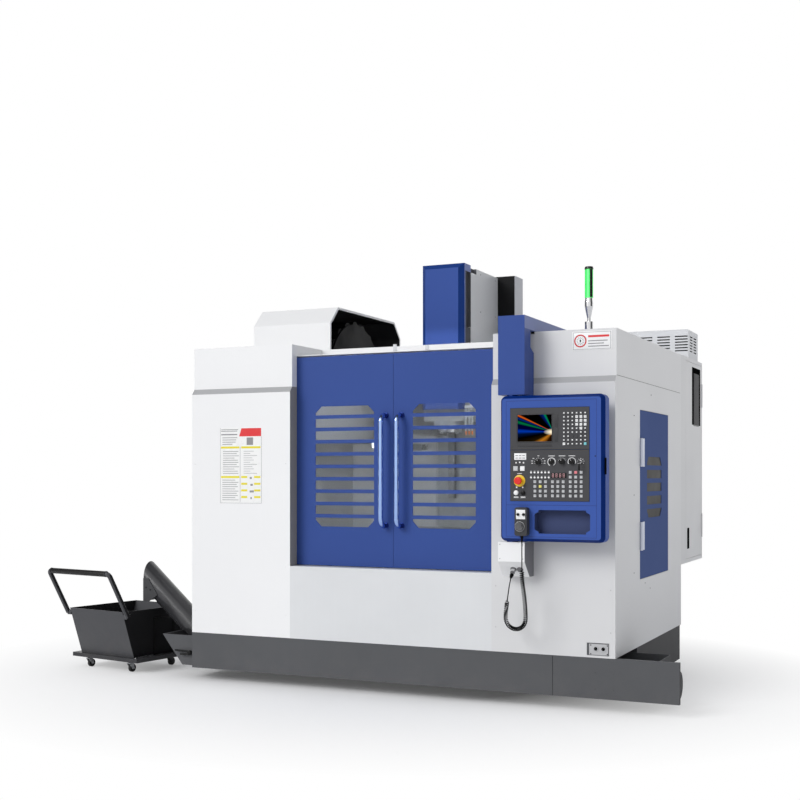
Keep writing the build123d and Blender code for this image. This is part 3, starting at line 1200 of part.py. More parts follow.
def pendant_dial():
    """The handwheel dial on the pendant's front."""
    front = -PANEL_FRONT - PENDANT_DEPTH - AXIS_GAP
    x, z = PENDANT_LEFT + PENDANT_WIDTH * 0.42, PENDANT_FOOT + DIAL_UP
    dial = rod((x, front, z), (0, -1, 0), DIAL_RADIUS, DIAL_RISE)
    dial = chamfer(dial.edges().group_by(Axis.Y)[0], 3)
    return dial + rod((x + DIAL_RADIUS * 0.5, front - DIAL_RISE, z + DIAL_RADIUS * 0.3), (0, -1, 0),
                      DIAL_GRIP, SELECTOR_RISE)


def cord_radii(points):
    """The largest arcs that the runs of a cord's route allow."""
    radii = []
    for a, b, c in zip(points, points[1:], points[2:]):
        before, after = Vector(b) - Vector(a), Vector(c) - Vector(b)
        turn = radians(before.get_angle(after))
        radii.append(0.45 * min(before.length, after.length) / tan(turn / 2))
    return radii


def slant_point(x, along, out):
    """A point on the socket box's slanted face, or standing off it along its normal."""
    drop = SOCKET_KNEE - SOCKET_FOOT
    slope = Vector(0, SOCKET_TUCK, -drop).normalized()
    normal = Vector(0, -drop, -SOCKET_TUCK).normalized()
    return Vector(x, -ARM_FRONT, SOCKET_KNEE) + slope * along + normal * out


def plug_axis():
    """Seat, front end and a point further out along the plug, square to the slanted face."""
    middle = hypot(SOCKET_TUCK, SOCKET_KNEE - SOCKET_FOOT) / 2
    return (slant_point(PLUG_X, middle, 0), slant_point(PLUG_X, middle, PLUG_LENGTH),
            slant_point(PLUG_X, middle, PLUG_LENGTH + CORD_TAIL_RUN))


def loop_corners():
    """The lower half of the curly loop: corners spread evenly round a half circle."""
    step = pi / LOOP_CORNERS
    reach = LOOP_RADIUS / cos(step / 2)
    x, y, z = LOOP_CENTRE
    return [(x + reach * cos((n + 0.5) * step), y + (n + 0.5 - LOOP_CORNERS / 2) * LOOP_RISE,
             z - reach * sin((n + 0.5) * step)) for n in range(LOOP_CORNERS)]


def cord_pieces():
    """The pendant's cord: a straight drop, the curly loop as one fat tube and a bent tail."""
    drop = tube_run([(CORD_DROP_END[0], CORD_DROP_END[1], PENDANT_FOOT - 3 * CORD), CORD_DROP_END],
                    CORD / 2)
    _, tip, bend = plug_axis()
    start = Vector(CORD_TAIL_START)
    last = start - (bend - start).normalized() * CURL_END_RUN
    loop = [CORD_DROP_END, *CURL_ROUTE, *loop_corners(), last, start]
    curl = tube_along(loop, cord_radii(loop), CURL / 2)
    run = [start, bend, tip]
    tail = tube_along(run, cord_radii(run), CORD / 2)
    print("cord radii", [round(r) for r in (*cord_radii(loop), *cord_radii(run))])
    return drop, curl, tail


def tube_run(points, radius):
    """A straight round run between two points."""
    a, b = Vector(points[0]), Vector(points[1])
    return rod(a, (b - a).normalized(), radius, (b - a).length)


def cord_plug():
    """The plug and its boot, square to the socket box's slanted face."""
    seat, tip, _ = plug_axis()
    boot = seat + (tip - seat) * (PLUG_BOOT / PLUG_LENGTH)
    return tube_run([seat, boot], PLUG_RADIUS) + tube_run([boot, tip], PLUG_RADIUS * 0.6)


# Signal lamp

def lamp_stem():
    """Foot, narrow neck and widening vase of the signal lamp, turned in one profile."""
    r, p = LAMP_RADIUS, LAMP_POLE
    foot, neck = ROOF_Z + LAMP_SOCKET, ROOF_Z + LAMP_SOCKET + LAMP_NECK
    half = [(0, ROOF_Z), (LAMP_FOOT_RADIUS, ROOF_Z), (LAMP_FOOT_RADIUS, ROOF_Z + LAMP_FLANGE),
            (r, ROOF_Z + LAMP_FLANGE), (r, foot), (p, foot + p * 0.6), (p, neck),
            (p * 1.4, neck + LAMP_SEAT), (r, LENS_FOOT - LAMP_SHOULDER), (r, LENS_FOOT - LAMP_SHOULDER / 2),
            (r * 0.9, LENS_FOOT - LAMP_SEAT / 2), (r * 0.9, LENS_FOOT), (0, LENS_FOOT)]
    face = outline(half, Plane.XZ)
    return Pos(LAMP_X, LAMP_Y, 0) * revolve(face, Axis.Z)


def lamp_lens():
    """The clear lens and its flat cap."""
    body = rod((LAMP_X, LAMP_Y, LENS_FOOT), (0, 0, 1), LAMP_RADIUS, LENS_HEIGHT)
    return body + rod((LAMP_X, LAMP_Y, LENS_FOOT + LENS_HEIGHT), (0, 0, 1), LAMP_RADIUS - 2, LAMP_CAP)


# Chip cart, in its own frame and then turned and placed

def on_cart(shape):
    """From the cart's own frame to its place under the outlet."""
    return Pos(-CART_X, CART_Y, 0) * Rot(0, 0, CART_TURN) * shape


def cart_tray():
    """The flat tray with folded edges; the rear casters' forks are bolted under it."""
    x, y, s = TRAY_LENGTH_CART / 2, TRAY_DEPTH_CART / 2, BIN_WALL
    tray = block((-x, x), (-y, y), (CART_TRAY_Z, CART_TOP))
    tray -= block((s - x, x - s), (s - y, y - s), (CART_TRAY_Z - 1, CART_TOP - s))
    for side in (-1, 1):
        cx = side * CASTER_X
        tray += caster_fork(cx, CASTER_Y, CASTER_TRAIL, CART_TOP - s)
    return on_cart(tray)


def caster_fork(x, y, trail, top):
    """A caster's stem, crown and two cheeks; the wheel trails behind the stem."""
    half = WHEEL_WIDTH / 2 + AXIS_GAP * 3
    crown = WHEEL_RADIUS * 2 + 4
    fork = block((x - half - FORK_PLATE, x + half + FORK_PLATE), (y - 16, y + 16), (crown, crown + FORK_PLATE))
    fork += rod((x, y, crown), (0, 0, 1), 8, top - crown)
    for side in (-1, 1):
        inner, outer = x + side * half, x + side * (half + FORK_PLATE)
        cheek = [(y - 16, crown + FORK_PLATE), (y + 16, crown + FORK_PLATE), (y + trail + 9, WHEEL_RADIUS - 6),
                 (y + trail - 9, WHEEL_RADIUS - 6)]
        fork += along_x(cheek, min(inner, outer), max(inner, outer))
    fork += rod((x - half, y + trail, WHEEL_RADIUS), (1, 0, 0), AXLE, 2 * half)
    return fork


def swivel_fork(side):
    """A front caster's fork with its swivel stem, turning in the tray."""
    return on_cart(caster_fork(side * CASTER_X, -CASTER_Y, CASTER_TRAIL, CART_TRAY_Z - AXIS_GAP + 14))


def cart_wheel(side, y):
    """A rubber-tyred wheel, running on its fork's axle."""
    x0 = side * CASTER_X - WHEEL_WIDTH / 2
    y += CASTER_TRAIL
    wheel = rod((x0, y, WHEEL_RADIUS), (1, 0, 0), WHEEL_RADIUS, WHEEL_WIDTH)
    wheel = chamfer(wheel.edges(), 2)
    return on_cart(wheel - rod((x0 - 1, y, WHEEL_RADIUS), (1, 0, 0), AXLE + SHAFT_GAP, WHEEL_WIDTH + 2))


def cart_bin():
    """The open bin with sloping front and rear, and the bent tube handle on its sides."""
    x, s = BIN_WIDTH / 2, BIN_WALL
    top, foot = BIN_DEPTH / 2, BIN_FOOT_DEPTH / 2
    outer = [(-foot, CART_TOP), (-top, BIN_TOP), (top, BIN_TOP), (foot, CART_TOP)]
    inner = [(s - foot, CART_TOP + s), (s - top, BIN_TOP + 1), (top - s, BIN_TOP + 1), (foot - s, CART_TOP + s)]
    bin_body = along_x(outer, -x, x) - along_x(inner, s - x, x - s)
    handle_half = CART_HANDLE / 2
    tube = CART_HANDLE_TUBE / 2
    base = (-top + tube, BIN_TOP - 2 * tube)
    tip = (-top - CART_HANDLE_LEAN, CART_HANDLE_Z)
    points = [(-handle_half, *base), (-handle_half, *tip), (handle_half, *tip), (handle_half, *base)]
    handle = tube_along(points, 1.6 * tube, tube)
    for side in (-1, 1):
        lug = sorted((side * x, side * handle_half))
        bin_body += block(lug, (base[0] - tube / 2, base[0] + 2 * tube), (base[1] - tube, base[1] + tube))
    return on_cart(bin_body + handle)


# Levelling feet

def levelling_foot(x, y, top):
    """A round pad with its stud, up to the casting or tank that it carries."""
    return rod((x, y, 0), (0, 0, 1), FOOT_RADIUS, FOOT_HEIGHT) + rod((x, y, 0), (0, 0, 1), STUD_RADIUS, top)


def levelling_feet():
    """Six feet under the bed and two under each tank."""
    feet = []
    inset = 2 * FOOT_RADIUS
    for x in (-BED_HALF + inset, BED_HALF - inset):
        for y in (BED_FRONT + inset, (BED_FRONT + BED_REAR) / 2, BED_REAR - inset):
            feet.append(levelling_foot(x, y, BED_FOOT))
    for x in (-HALF + inset, HALF - inset):
        for y in (TANK_FRONT + inset, SIDE_DEPTH - inset):
            feet.append(levelling_foot(x, y, TANK_FOOT))
    return group(*feet)


def all_pieces():
    """Every node's shape by name, in modelling coordinates."""
    drop, curl, tail = cord_pieces()
    pieces = {
        "base_casting": base_casting(), "column": column(), "linear_rails": linear_rails(),
        "column_cover": column_cover(), "levelling_feet": levelling_feet(),
        "coolant_tanks": coolant_tanks(), "front_skirt": front_skirt(), "chip_trough": chip_trough(),
        "conveyor_tube": conveyor_tube(), "conveyor_gearmotor": conveyor_gearmotor(), "auger": auger(),
        "left_cabinet": left_cabinet(), "right_cabinet": right_cabinet(),
        "front_lower_panel": front_lower_panel(), "roof_frame": roof_frame(), "chip_pan": chip_pan(),
        "splash_guard": splash_guard(), "tool_hood": tool_hood(), "magazine_bracket": magazine_bracket(),
        "tool_magazine": tool_magazine(), "tool_arm": tool_arm(), "saddle": saddle(), "table": table(),
        "headstock": headstock(), "spindle": spindle(), "head_front_cover": head_front_cover(),
        "head_side_cover": head_side_cover(), "door_right": door_right(),
        "door_right_glass": door_glass_right(), "door_right_handle": door_handle_right(),
        "side_door": side_door(), "side_door_glass": side_door_glass(),
        "electrical_cabinet": electrical_cabinet(), "cabinet_door": cabinet_door(),
        "transformer_box": transformer_box(), "panel_arm": panel_arm(), "socket_box": socket_box(),
        "panel_housing": panel_housing(), "display_unit": display_unit(), "key_panel": key_panel(),
        "emergency_stop": emergency_stop(), "pendant": pendant(), "pendant_dial": pendant_dial(),
        "cord_drop": drop, "cord_curl": curl, "cord_tail": tail, "cord_plug": cord_plug(),
        "lamp_stem": lamp_stem(), "lamp_lens": lamp_lens(), "cart_tray": cart_tray(),
        "cart_bin": cart_bin(),
    }
    for part in ("", "_glass", "_handle"):
        pieces["door_left" + part] = mirror_x(pieces["door_right" + part])
    for name, side in (("left", -1), ("right", 1)):
        pieces[f"caster_fork_{name}"] = swivel_fork(side)
        pieces[f"wheel_front_{name}"] = cart_wheel(side, -CASTER_Y)
        pieces[f"wheel_rear_{name}"] = cart_wheel(side, CASTER_Y)
    return pieces


CORD_NODES = ("cord_drop", "cord_curl", "cord_tail", "cord_plug")


def footprint_centre(pieces):
    """The middle of everything that stands on the floor or on the machine, cords apart."""
    boxes = [shape.bounding_box() for name, shape in pieces.items() if name not in CORD_NODES]
    return ((min(b.min.X for b in boxes) + max(b.max.X for b in boxes)) / 2,
            (min(b.min.Y for b in boxes) + max(b.max.Y for b in boxes)) / 2)


def main():
    os.makedirs("parts", exist_ok=True)
    pieces = all_pieces()
    x, y = footprint_centre(pieces)
    print("modelling zero lies at", round(-x, 3), round(-y, 3), "nodes", len(pieces))
    for name, shape in pieces.items():
        export_step(Pos(-x, -y, 0) * shape, f"parts/{name}.step")


main()
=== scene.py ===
"""Looks of a vertical machining centre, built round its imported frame.

Places are written in millimetres from the middle of the doorway, the face of the front panels and
the floor, with +Y to the rear. spot() takes them to the frame's metres. A pair of numbers is the
low and high end of a shape along one axis, and a profile is (radius, distance) pairs.
"""
import json
from math import cos, pi, radians, sin, tau

import bmesh
import bpy
from mathutils import Matrix, Vector


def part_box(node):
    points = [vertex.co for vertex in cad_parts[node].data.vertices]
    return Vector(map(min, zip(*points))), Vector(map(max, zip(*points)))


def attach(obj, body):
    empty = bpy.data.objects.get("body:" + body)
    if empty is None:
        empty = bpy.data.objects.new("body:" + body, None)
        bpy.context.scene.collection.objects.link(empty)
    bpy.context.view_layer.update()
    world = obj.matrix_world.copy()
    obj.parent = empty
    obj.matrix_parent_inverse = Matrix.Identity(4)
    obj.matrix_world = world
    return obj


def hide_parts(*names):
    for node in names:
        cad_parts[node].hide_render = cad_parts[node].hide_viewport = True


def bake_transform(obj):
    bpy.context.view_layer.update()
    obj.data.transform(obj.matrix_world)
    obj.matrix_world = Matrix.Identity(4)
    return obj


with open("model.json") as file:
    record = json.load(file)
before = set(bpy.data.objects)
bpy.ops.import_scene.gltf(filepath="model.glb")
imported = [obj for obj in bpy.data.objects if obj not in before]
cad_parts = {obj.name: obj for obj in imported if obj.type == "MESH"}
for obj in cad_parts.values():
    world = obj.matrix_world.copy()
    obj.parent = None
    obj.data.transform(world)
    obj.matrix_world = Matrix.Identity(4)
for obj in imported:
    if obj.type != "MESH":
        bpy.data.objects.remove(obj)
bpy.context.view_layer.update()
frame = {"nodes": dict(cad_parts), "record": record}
nodes = frame["nodes"]

MM = 0.001
FRONT_LOW, FRONT_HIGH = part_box("front_lower_panel")
ZERO = Vector(((FRONT_LOW.x + FRONT_HIGH.x) / 2, FRONT_LOW.y, 0))
TO_FRAME = Matrix.Translation(ZERO) @ Matrix.Scale(MM, 4)
FORWARDS, REARWARDS, SIDEWAYS = (0, -1, 0), (0, 1, 0), (1, 0, 0)
UPWARDS, DOWNWARDS = (0, 0, 1), (0, 0, -1)

# Planes that the details stand on
SIDE_X = 1300.0
DOOR_Y = 84.0
FASCIA_Y = 24.0
UNIT_FACE = -183.0
PANEL_FACE = -180.0
PENDANT_FACE = -224.0


def spot(x, y, z):
    """A place on the machine, in the frame's metres."""
    return TO_FRAME @ Vector((x, y, z))


def link(name, data):
    """A new object in the scene."""
    made = bpy.data.objects.new(name, data)
    bpy.context.scene.collection.objects.link(made)
    return made


# Camera

CAMERA_PLACE = (2927.7, -6182.5, 1233.2)
CAMERA_TURN = 24.726
CAMERA_LENS = 55.08
CAMERA_SHIFT = 0.0941


def add_camera():
    """The camera at the photograph's place, level, with its picture shifted up."""
    data = bpy.data.cameras.new("camera")
    data.lens, data.sensor_width, data.shift_y = CAMERA_LENS, 36.0, CAMERA_SHIFT
    data.clip_end = 200
    camera = link("camera", data)
    camera.location = spot(*CAMERA_PLACE)
    camera.rotation_euler = (pi / 2, 0, radians(CAMERA_TURN))
    bpy.context.scene.camera = camera


# Node trees

class Graph:
    """A node tree whose inputs are given as plain values or as other nodes' outputs."""

    def __init__(self, tree):
        self.tree = tree

    def fill(self, node, inputs):
        """Sets or links the inputs of a node."""
        for label, value in inputs.items():
            if isinstance(value, bpy.types.NodeSocket):
                self.tree.links.new(value, node.inputs[label])
            else:
                node.inputs[label].default_value = value

    def add(self, kind, inputs=None, **settings):
        """A node with its settings and inputs."""
        node = self.tree.nodes.new(kind)
        for key, value in settings.items():
            setattr(node, key, value)
        self.fill(node, inputs or {})
        return node

    def out(self, kind, inputs=None, **settings):
        """The first output of a new node."""
        return self.add(kind, inputs, **settings).outputs[0]

    def close(self, **outputs):
        """Connects the outputs of a group and gives its tree."""
        self.add("NodeGroupOutput", outputs)
        return self.tree

    def math(self, operation, first, second=0.0, clamp=False):
        """One arithmetic step."""
        return self.out("ShaderNodeMath", {0: first, 1: second}, operation=operation,
                        use_clamp=clamp)

    def plus(self, first, second, clamp=False):
        return self.math("ADD", first, second, clamp)

    def minus(self, first, second, clamp=False):
        return self.math("SUBTRACT", first, second, clamp)

    def times(self, first, second, clamp=False):
        return self.math("MULTIPLY", first, second, clamp)

    def vector(self, operation, first, second=(0, 0, 0)):
        """One step of vector arithmetic."""
        made = self.add("ShaderNodeVectorMath", {0: first, 1: second}, operation=operation)
        return made.outputs["Value" if operation in ("DOT_PRODUCT", "LENGTH") else "Vector"]

    def parts(self, vector):
        """The X, Y and Z of a vector."""
        return self.add("ShaderNodeSeparateXYZ", {0: vector}).outputs

    def mix(self, factor, first, second):
        """A colour between two others."""
        return self.add("ShaderNodeMix", {0: factor, 6: first, 7: second},
                        data_type="RGBA").outputs[2]

    def spread(self, value, low, high, to_low=0.0, to_high=1.0):
        """A value stretched from one range to another, held at its ends."""
        return self.out("ShaderNodeMapRange", {0: value, 1: low, 2: high, 3: to_low, 4: to_high})

    def noise(self, place, scale, detail=3.0, roughness=0.5):
        """The grey value of a noise at a scale of so many cells per metre."""
        return self.add("ShaderNodeTexNoise", {"Vector": place, "Scale": scale, "Detail": detail,
                                               "Roughness": roughness}).outputs["Fac"]


# Shader groups: surfaces give the colour, roughness and height of one kind of surface

def shader_group(name, inputs, outputs=("Color", "Roughness", "Height")):
    """An empty shader group; gives its graph, its inputs and the texture coordinates."""
    tree = bpy.data.node_groups.new(name, "ShaderNodeTree")
    for label, value in inputs.items():
        kind = "Float" if isinstance(value, float) else "Vector" if len(value) == 3 else "Color"
        tree.interface.new_socket(name=label, in_out="INPUT",
                                  socket_type="NodeSocket" + kind).default_value = value
    for label in outputs:
        kind = "Color" if label == "Color" else "Float"
        tree.interface.new_socket(name=label, in_out="OUTPUT", socket_type="NodeSocket" + kind)
    return (Graph(tree), tree.nodes.new("NodeGroupInput").outputs,
            tree.nodes.new("ShaderNodeTexCoord").outputs)


def coated_sheet():
    """Powder-coated sheet: soft patches, faint streaks down it, and dust towards the floor."""
    g, given, coordinates = shader_group("coated_sheet", {
        "Paint": (0.8, 0.8, 0.8, 1), "Shade": (0.6, 0.6, 0.6, 1), "Patches": 0.3, "Streaks": 0.15,
        "Dust": (0.35, 0.33, 0.3, 1), "Dust Amount": 0.2, "Dust Height": 0.5, "Gloss": 0.35})
    place = coordinates["Object"]
    patches = g.spread(g.noise(place, 1.7, 4.0), 0.35, 0.7)
    upright = g.out("ShaderNodeMapping", {"Vector": place, "Scale": (70.0, 70.0, 1.6)})
    streaks = g.spread(g.noise(upright, 1.0, 2.0), 0.3, 0.75)
    colour = g.mix(g.times(patches, given["Patches"]), given["Paint"], given["Shade"])
    colour = g.mix(g.times(streaks, given["Streaks"]), colour, given["Shade"])
    low = g.minus(1.0, g.math("DIVIDE", g.parts(place)["Z"], given["Dust Height"]), True)
    cloud = g.spread(g.noise(place, 9.0, 6.0, 0.65), 0.35, 0.75)
    dusty = g.times(g.times(low, cloud), given["Dust Amount"], True)
    rough = g.plus(g.plus(g.times(patches, 0.07), given["Gloss"]), g.times(dusty, 0.3))
    return g.close(Color=g.mix(dusty, colour, given["Dust"]), Roughness=rough,
                   Height=g.noise(place, 420.0, 2.0))


def brushed_metal():
    """Metal with fine parallel lines, stretched by the vector Lines."""
    g, given, coordinates = shader_group("brushed_metal", {
        "Metal": (0.6, 0.6, 0.6, 1), "Dark": (0.3, 0.3, 0.3, 1), "Lines": (4.0, 300.0, 300.0),
        "Contrast": 0.4, "Gloss": 0.3})
    place = coordinates["Object"]
    lines = g.noise(g.vector("MULTIPLY", place, given["Lines"]), 1.0, 3.0, 0.6)
    stains = g.spread(g.noise(place, 6.0, 5.0, 0.6), 0.4, 0.75)
    lined = g.times(g.spread(lines, 0.3, 0.7), given["Contrast"])
    colour = g.mix(lined, given["Metal"], given["Dark"])
    return g.close(Color=g.mix(g.times(stains, 0.25), colour, given["Dark"]),
                   Roughness=g.plus(given["Gloss"], g.times(stains, 0.15)), Height=lines)


def moulded_grain():
    """Moulded plastic or rubber: fine grain, slightly paler where it is handled."""
    g, given, coordinates = shader_group("moulded_grain", {
        "Plastic": (0.1, 0.1, 0.1, 1), "Worn": (0.2, 0.2, 0.2, 1), "Wear": 0.3, "Grain": 900.0,
        "Gloss": 0.45})
    place = coordinates["Object"]
    rubbed = g.spread(g.noise(place, 24.0, 5.0, 0.6), 0.5, 0.8)
    colour = g.mix(g.times(rubbed, given["Wear"]), given["Plastic"], given["Worn"])
    return g.close(Color=colour, Roughness=g.minus(given["Gloss"], g.times(rubbed, 0.08)),
                   Height=g.noise(place, given["Grain"], 1.0))


def cast_skin():
    """Painted casting: a rough skin with small pits and oily patches."""
    g, given, coordinates = shader_group("cast_skin", {
        "Paint": (0.3, 0.3, 0.3, 1), "Oil": (0.12, 0.11, 0.1, 1), "Oiliness": 0.4, "Gloss": 0.5})
    place = coordinates["Object"]
    oily = g.spread(g.noise(place, 5.0, 6.0, 0.6), 0.45, 0.75)
    pits = g.add("ShaderNodeTexVoronoi", {"Vector": place, "Scale": 160.0}).outputs["Distance"]
    return g.close(Color=g.mix(g.times(oily, given["Oiliness"]), given["Paint"], given["Oil"]),
                   Roughness=g.minus(given["Gloss"], g.times(oily, 0.2)),
                   Height=g.plus(g.noise(place, 60.0, 6.0, 0.6), g.times(pits, 0.4)))


def facing_tint():
    """Tints the faces that look along an axis, by an amount between two limits, inside a box."""
    g, given, coordinates = shader_group("facing_tint", {
        "Color": (1, 1, 1, 1), "Tint": (0, 0, 0, 1), "Axis": (0, -1, 0), "Low": (-100, -100, -100),
        "High": (100, 100, 100), "From": -1.1, "To": 1.1}, ("Color",))
    place = coordinates["Object"]
    ahead = g.vector("DOT_PRODUCT", coordinates["Normal"], given["Axis"])
    mask = g.times(g.math("GREATER_THAN", ahead, given["From"]),
                   g.math("LESS_THAN", ahead, given["To"]))
    for first, second in ((place, given["Low"]), (given["High"], place)):
        for part in g.parts(g.vector("SUBTRACT", first, second)):
            mask = g.times(mask, g.math("GREATER_THAN", part, 0.0))
    return g.close(Color=g.mix(mask, given["Color"], given["Tint"]))


def inside_tint():
    """Tints the faces of a shell that look towards its middle, so its inside."""
    g, given, coordinates = shader_group("inside_tint", {
        "Color": (1, 1, 1, 1), "Tint": (0, 0, 0, 1), "Middle": (0, 0, 0)}, ("Color",))
    outwards = g.vector("SUBTRACT", coordinates["Object"], given["Middle"])
    mask = g.math("LESS_THAN", g.vector("DOT_PRODUCT", outwards, coordinates["Normal"]), 0.0)
    return g.close(Color=g.mix(mask, given["Color"], given["Tint"]))


COATED, BRUSHED, MOULDED, CAST = coated_sheet(), brushed_metal(), moulded_grain(), cast_skin()
FACING, INSIDE = facing_tint(), inside_tint()
FINISH = {}


def rgb(red, green, blue):
    """A colour with full alpha."""
    return (red, green, blue, 1.0)


def tint(colour, axis=FORWARDS, start=-1.1, end=1.1, low=(-1e5, -1e5, -1e5), high=(1e5, 1e5, 1e5)):
    """A shade for the faces that look along an axis and lie between two corners."""
    return FACING, {"Tint": rgb(*colour), "Axis": axis, "From": start, "To": end,
                    "Low": spot(*low), "High": spot(*high)}


def hollow(colour, middle):
    """Painted shade for the inside of a shell round a middle."""
    return INSIDE, {"Tint": rgb(*colour), "Middle": middle}


def new_material(name):
    """A material in FINISH; gives its graph and its shader."""
    material = FINISH[name] = bpy.data.materials.new(name)
    material.use_nodes = True
    return Graph(material.node_tree), material.node_tree.nodes["Principled BSDF"]


def make_finish(name, group, values, tints=(), bump=0.1, depth=0.001, mirror=0.5, metallic=0.0):
    """A material from a surface group, with its tints and a bump from its height."""
    g, shader = new_material(name)
    surface = g.add("ShaderNodeGroup", values, node_tree=group).outputs
    colour = surface["Color"]
    for mask, settings in tints:
        colour = g.out("ShaderNodeGroup", {**settings, "Color": colour}, node_tree=mask)
    relief = g.out("ShaderNodeBump", {"Height": surface["Height"], "Strength": bump,
                                      "Distance": depth})
    g.fill(shader, {"Base Color": colour, "Roughness": surface["Roughness"], "Normal": relief,
                    "Specular IOR Level": mirror, "Metallic": metallic})
    return shader


def painted(name, paint, shade, patches=0.3, streaks=0.12, dust=0.2, dust_height=0.5, gloss=0.36,
            **more):
    """A powder-coated sheet finish."""
    make_finish(name, COATED, {"Paint": rgb(*paint), "Shade": rgb(*shade), "Patches": patches,
                               "Streaks": streaks, "Dust Amount": dust,
                               "Dust Height": dust_height, "Gloss": gloss}, **more)


def metal(name, colour, dark, lines, gloss=0.3, contrast=0.4, **more):
    """A bare metal finish."""
    make_finish(name, BRUSHED, {"Metal": rgb(*colour), "Dark": rgb(*dark), "Lines": lines,
                                "Contrast": contrast, "Gloss": gloss}, metallic=1.0, **more)


def moulded(name, plastic, worn, gloss=0.45, grain=900.0, wear=0.3, **more):
    """A moulded plastic or rubber finish; gives its shader."""
    return make_finish(name, MOULDED, {"Plastic": rgb(*plastic), "Worn": rgb(*worn), "Wear": wear,
                                       "Grain": grain, "Gloss": gloss}, **more)


def glowing(name, colour, strength):
    """A small lit part: a lamp or a digit."""
    shader = moulded(name, colour, colour, gloss=0.3)
    shader.inputs["Emission Color"].default_value = rgb(*colour)
    shader.inputs["Emission Strength"].default_value = strength


# Tints of faces and recesses of a sheet; where a tint is painted shade or painted light, its own
# comment says so
# Painted shade: the slanted strip under the fascia
BAND_SHADE = tint((0.40, 0.402, 0.41), start=0.7, end=0.9)
# Painted shade on the left cabinet's side of the doorway
DOORWAY_SIDE_SHADE = tint((0.305, 0.29, 0.262), SIDEWAYS, 0.9, high=(0, 1000, 1750))
# Painted shade on the side faces of the dark paint
DARK_SIDE_SHADE = tint((0.016, 0.016, 0.018), SIDEWAYS, 0.7)
SHADED_SIDE = tint((0.17, 0.17, 0.18), SIDEWAYS, 0.9)
# Painted light: the right cabinet's side, lighter than its shaded front
SIDE_LIGHT = tint((0.73, 0.73, 0.735), SIDEWAYS, 0.9)
# Painted shade on the lower front of the right cabinet
LOW_FRONT_SHADE = tint((0.64, 0.64, 0.645), start=0.9, high=(2000, 2000, 1735))
# Painted light: the blue's side faces above the roof, lighter where they catch the light
LIT_BLUE_CROWN = tint((0.18, 0.22, 0.44), SIDEWAYS, 0.9, low=(-2000, -2000, 1999))
# Painted shade on the bevels of the head's blue cover and of the panel's blue housing
HEAD_BEVEL_SHADE = tint((0.012, 0.042, 0.20), start=0.4, end=0.96)
PANEL_BEVEL_SHADE = tint((0.0, 0.020, 0.155), start=0.4, end=0.96)
COVER_FRONT = tint((0.006, 0.006, 0.007), start=0.9)
# Painted shade on the cart bin's side
BIN_SIDE_SHADE = tint((0.012, 0.012, 0.013), (0.985, -0.174, 0), 0.8)
# Painted shade on the feet of the door handles, next to the door
HANDLE_FOOT_SHADE = tint((0.04, 0.075, 0.28), low=(-2000, DOOR_Y - 34, 0), high=(2000, 200, 2000))
TRAY = tint((0.06, 0.078, 0.17), low=(920, -178, 928), high=(1224, -100, 1060))
# Painted shade in the recess of the electrical cabinet's vent
VENT_SHADE = tint((0.006, 0.006, 0.006), low=(1200, 1956, 1567), high=(1400, 2235, 1949))
VENT_MIDDLE = tint((0.105, 0.105, 0.108), low=(1200, 2004, 1560), high=(1400, 2186, 1912))
LATCH = tint((0.006, 0.006, 0.006), low=(1200, 1821, 757), high=(1400, 1849, 893))
# Painted shade inside the transformer box, seen through its louvres
BOX_INSIDE_SHADE = hollow((0.01, 0.01, 0.01), sum(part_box("transformer_box"), Vector()) / 2)
# Painted shade inside the tool hood
HOOD_INSIDE_SHADE = hollow((0.011, 0.011, 0.012), spot(-930, 1000, 2080))

# Colour, shade, patches, streaks and dust of the sheets
WHITE = (0.84, 0.84, 0.842), (0.78, 0.78, 0.785), 0.3, 0.1, 0.05
BRIGHT = (0.85, 0.85, 0.852), (0.79, 0.79, 0.795), 0.3, 0.1, 0.05
PALE = (0.70, 0.70, 0.705), (0.63, 0.63, 0.635), 0.35, 0.08, 0.05
BLUE = (0.038, 0.078, 0.285), (0.032, 0.067, 0.255), 0.5, 0.05, 0.0

painted("white_paint", *WHITE, tints=(BAND_SHADE,))
painted("white_paint_left", *WHITE, tints=(BAND_SHADE, DOORWAY_SIDE_SHADE))
# Painted shade: the middle panel under the doors is a darker copy of the white paint
painted("white_paint_middle_shaded", (0.69, 0.70, 0.71), (0.60, 0.61, 0.62), 0.5, 0.08, 0.05)
# Painted shade: the right cabinet is a darker copy of the white paint, with painted light on its
# side
painted("white_paint_right_shaded", *PALE, tints=(BAND_SHADE, LOW_FRONT_SHADE, SIDE_LIGHT))
painted("box_paint", (0.67, 0.68, 0.70), (0.61, 0.62, 0.64), 0.3, 0.1, 0.05, tints=(BOX_INSIDE_SHADE,))
painted("socket_paint", *BRIGHT, tints=(SHADED_SIDE,))
painted("cabinet_paint", *PALE, tints=(VENT_SHADE, VENT_MIDDLE, LATCH))
painted("plain_white", *BRIGHT)
painted("hood_paint", *WHITE, tints=(HOOD_INSIDE_SHADE,))
painted("blue_paint", *BLUE, mirror=0.14)
painted("arm_blue", *BLUE, tints=(LIT_BLUE_CROWN,), mirror=0.14)
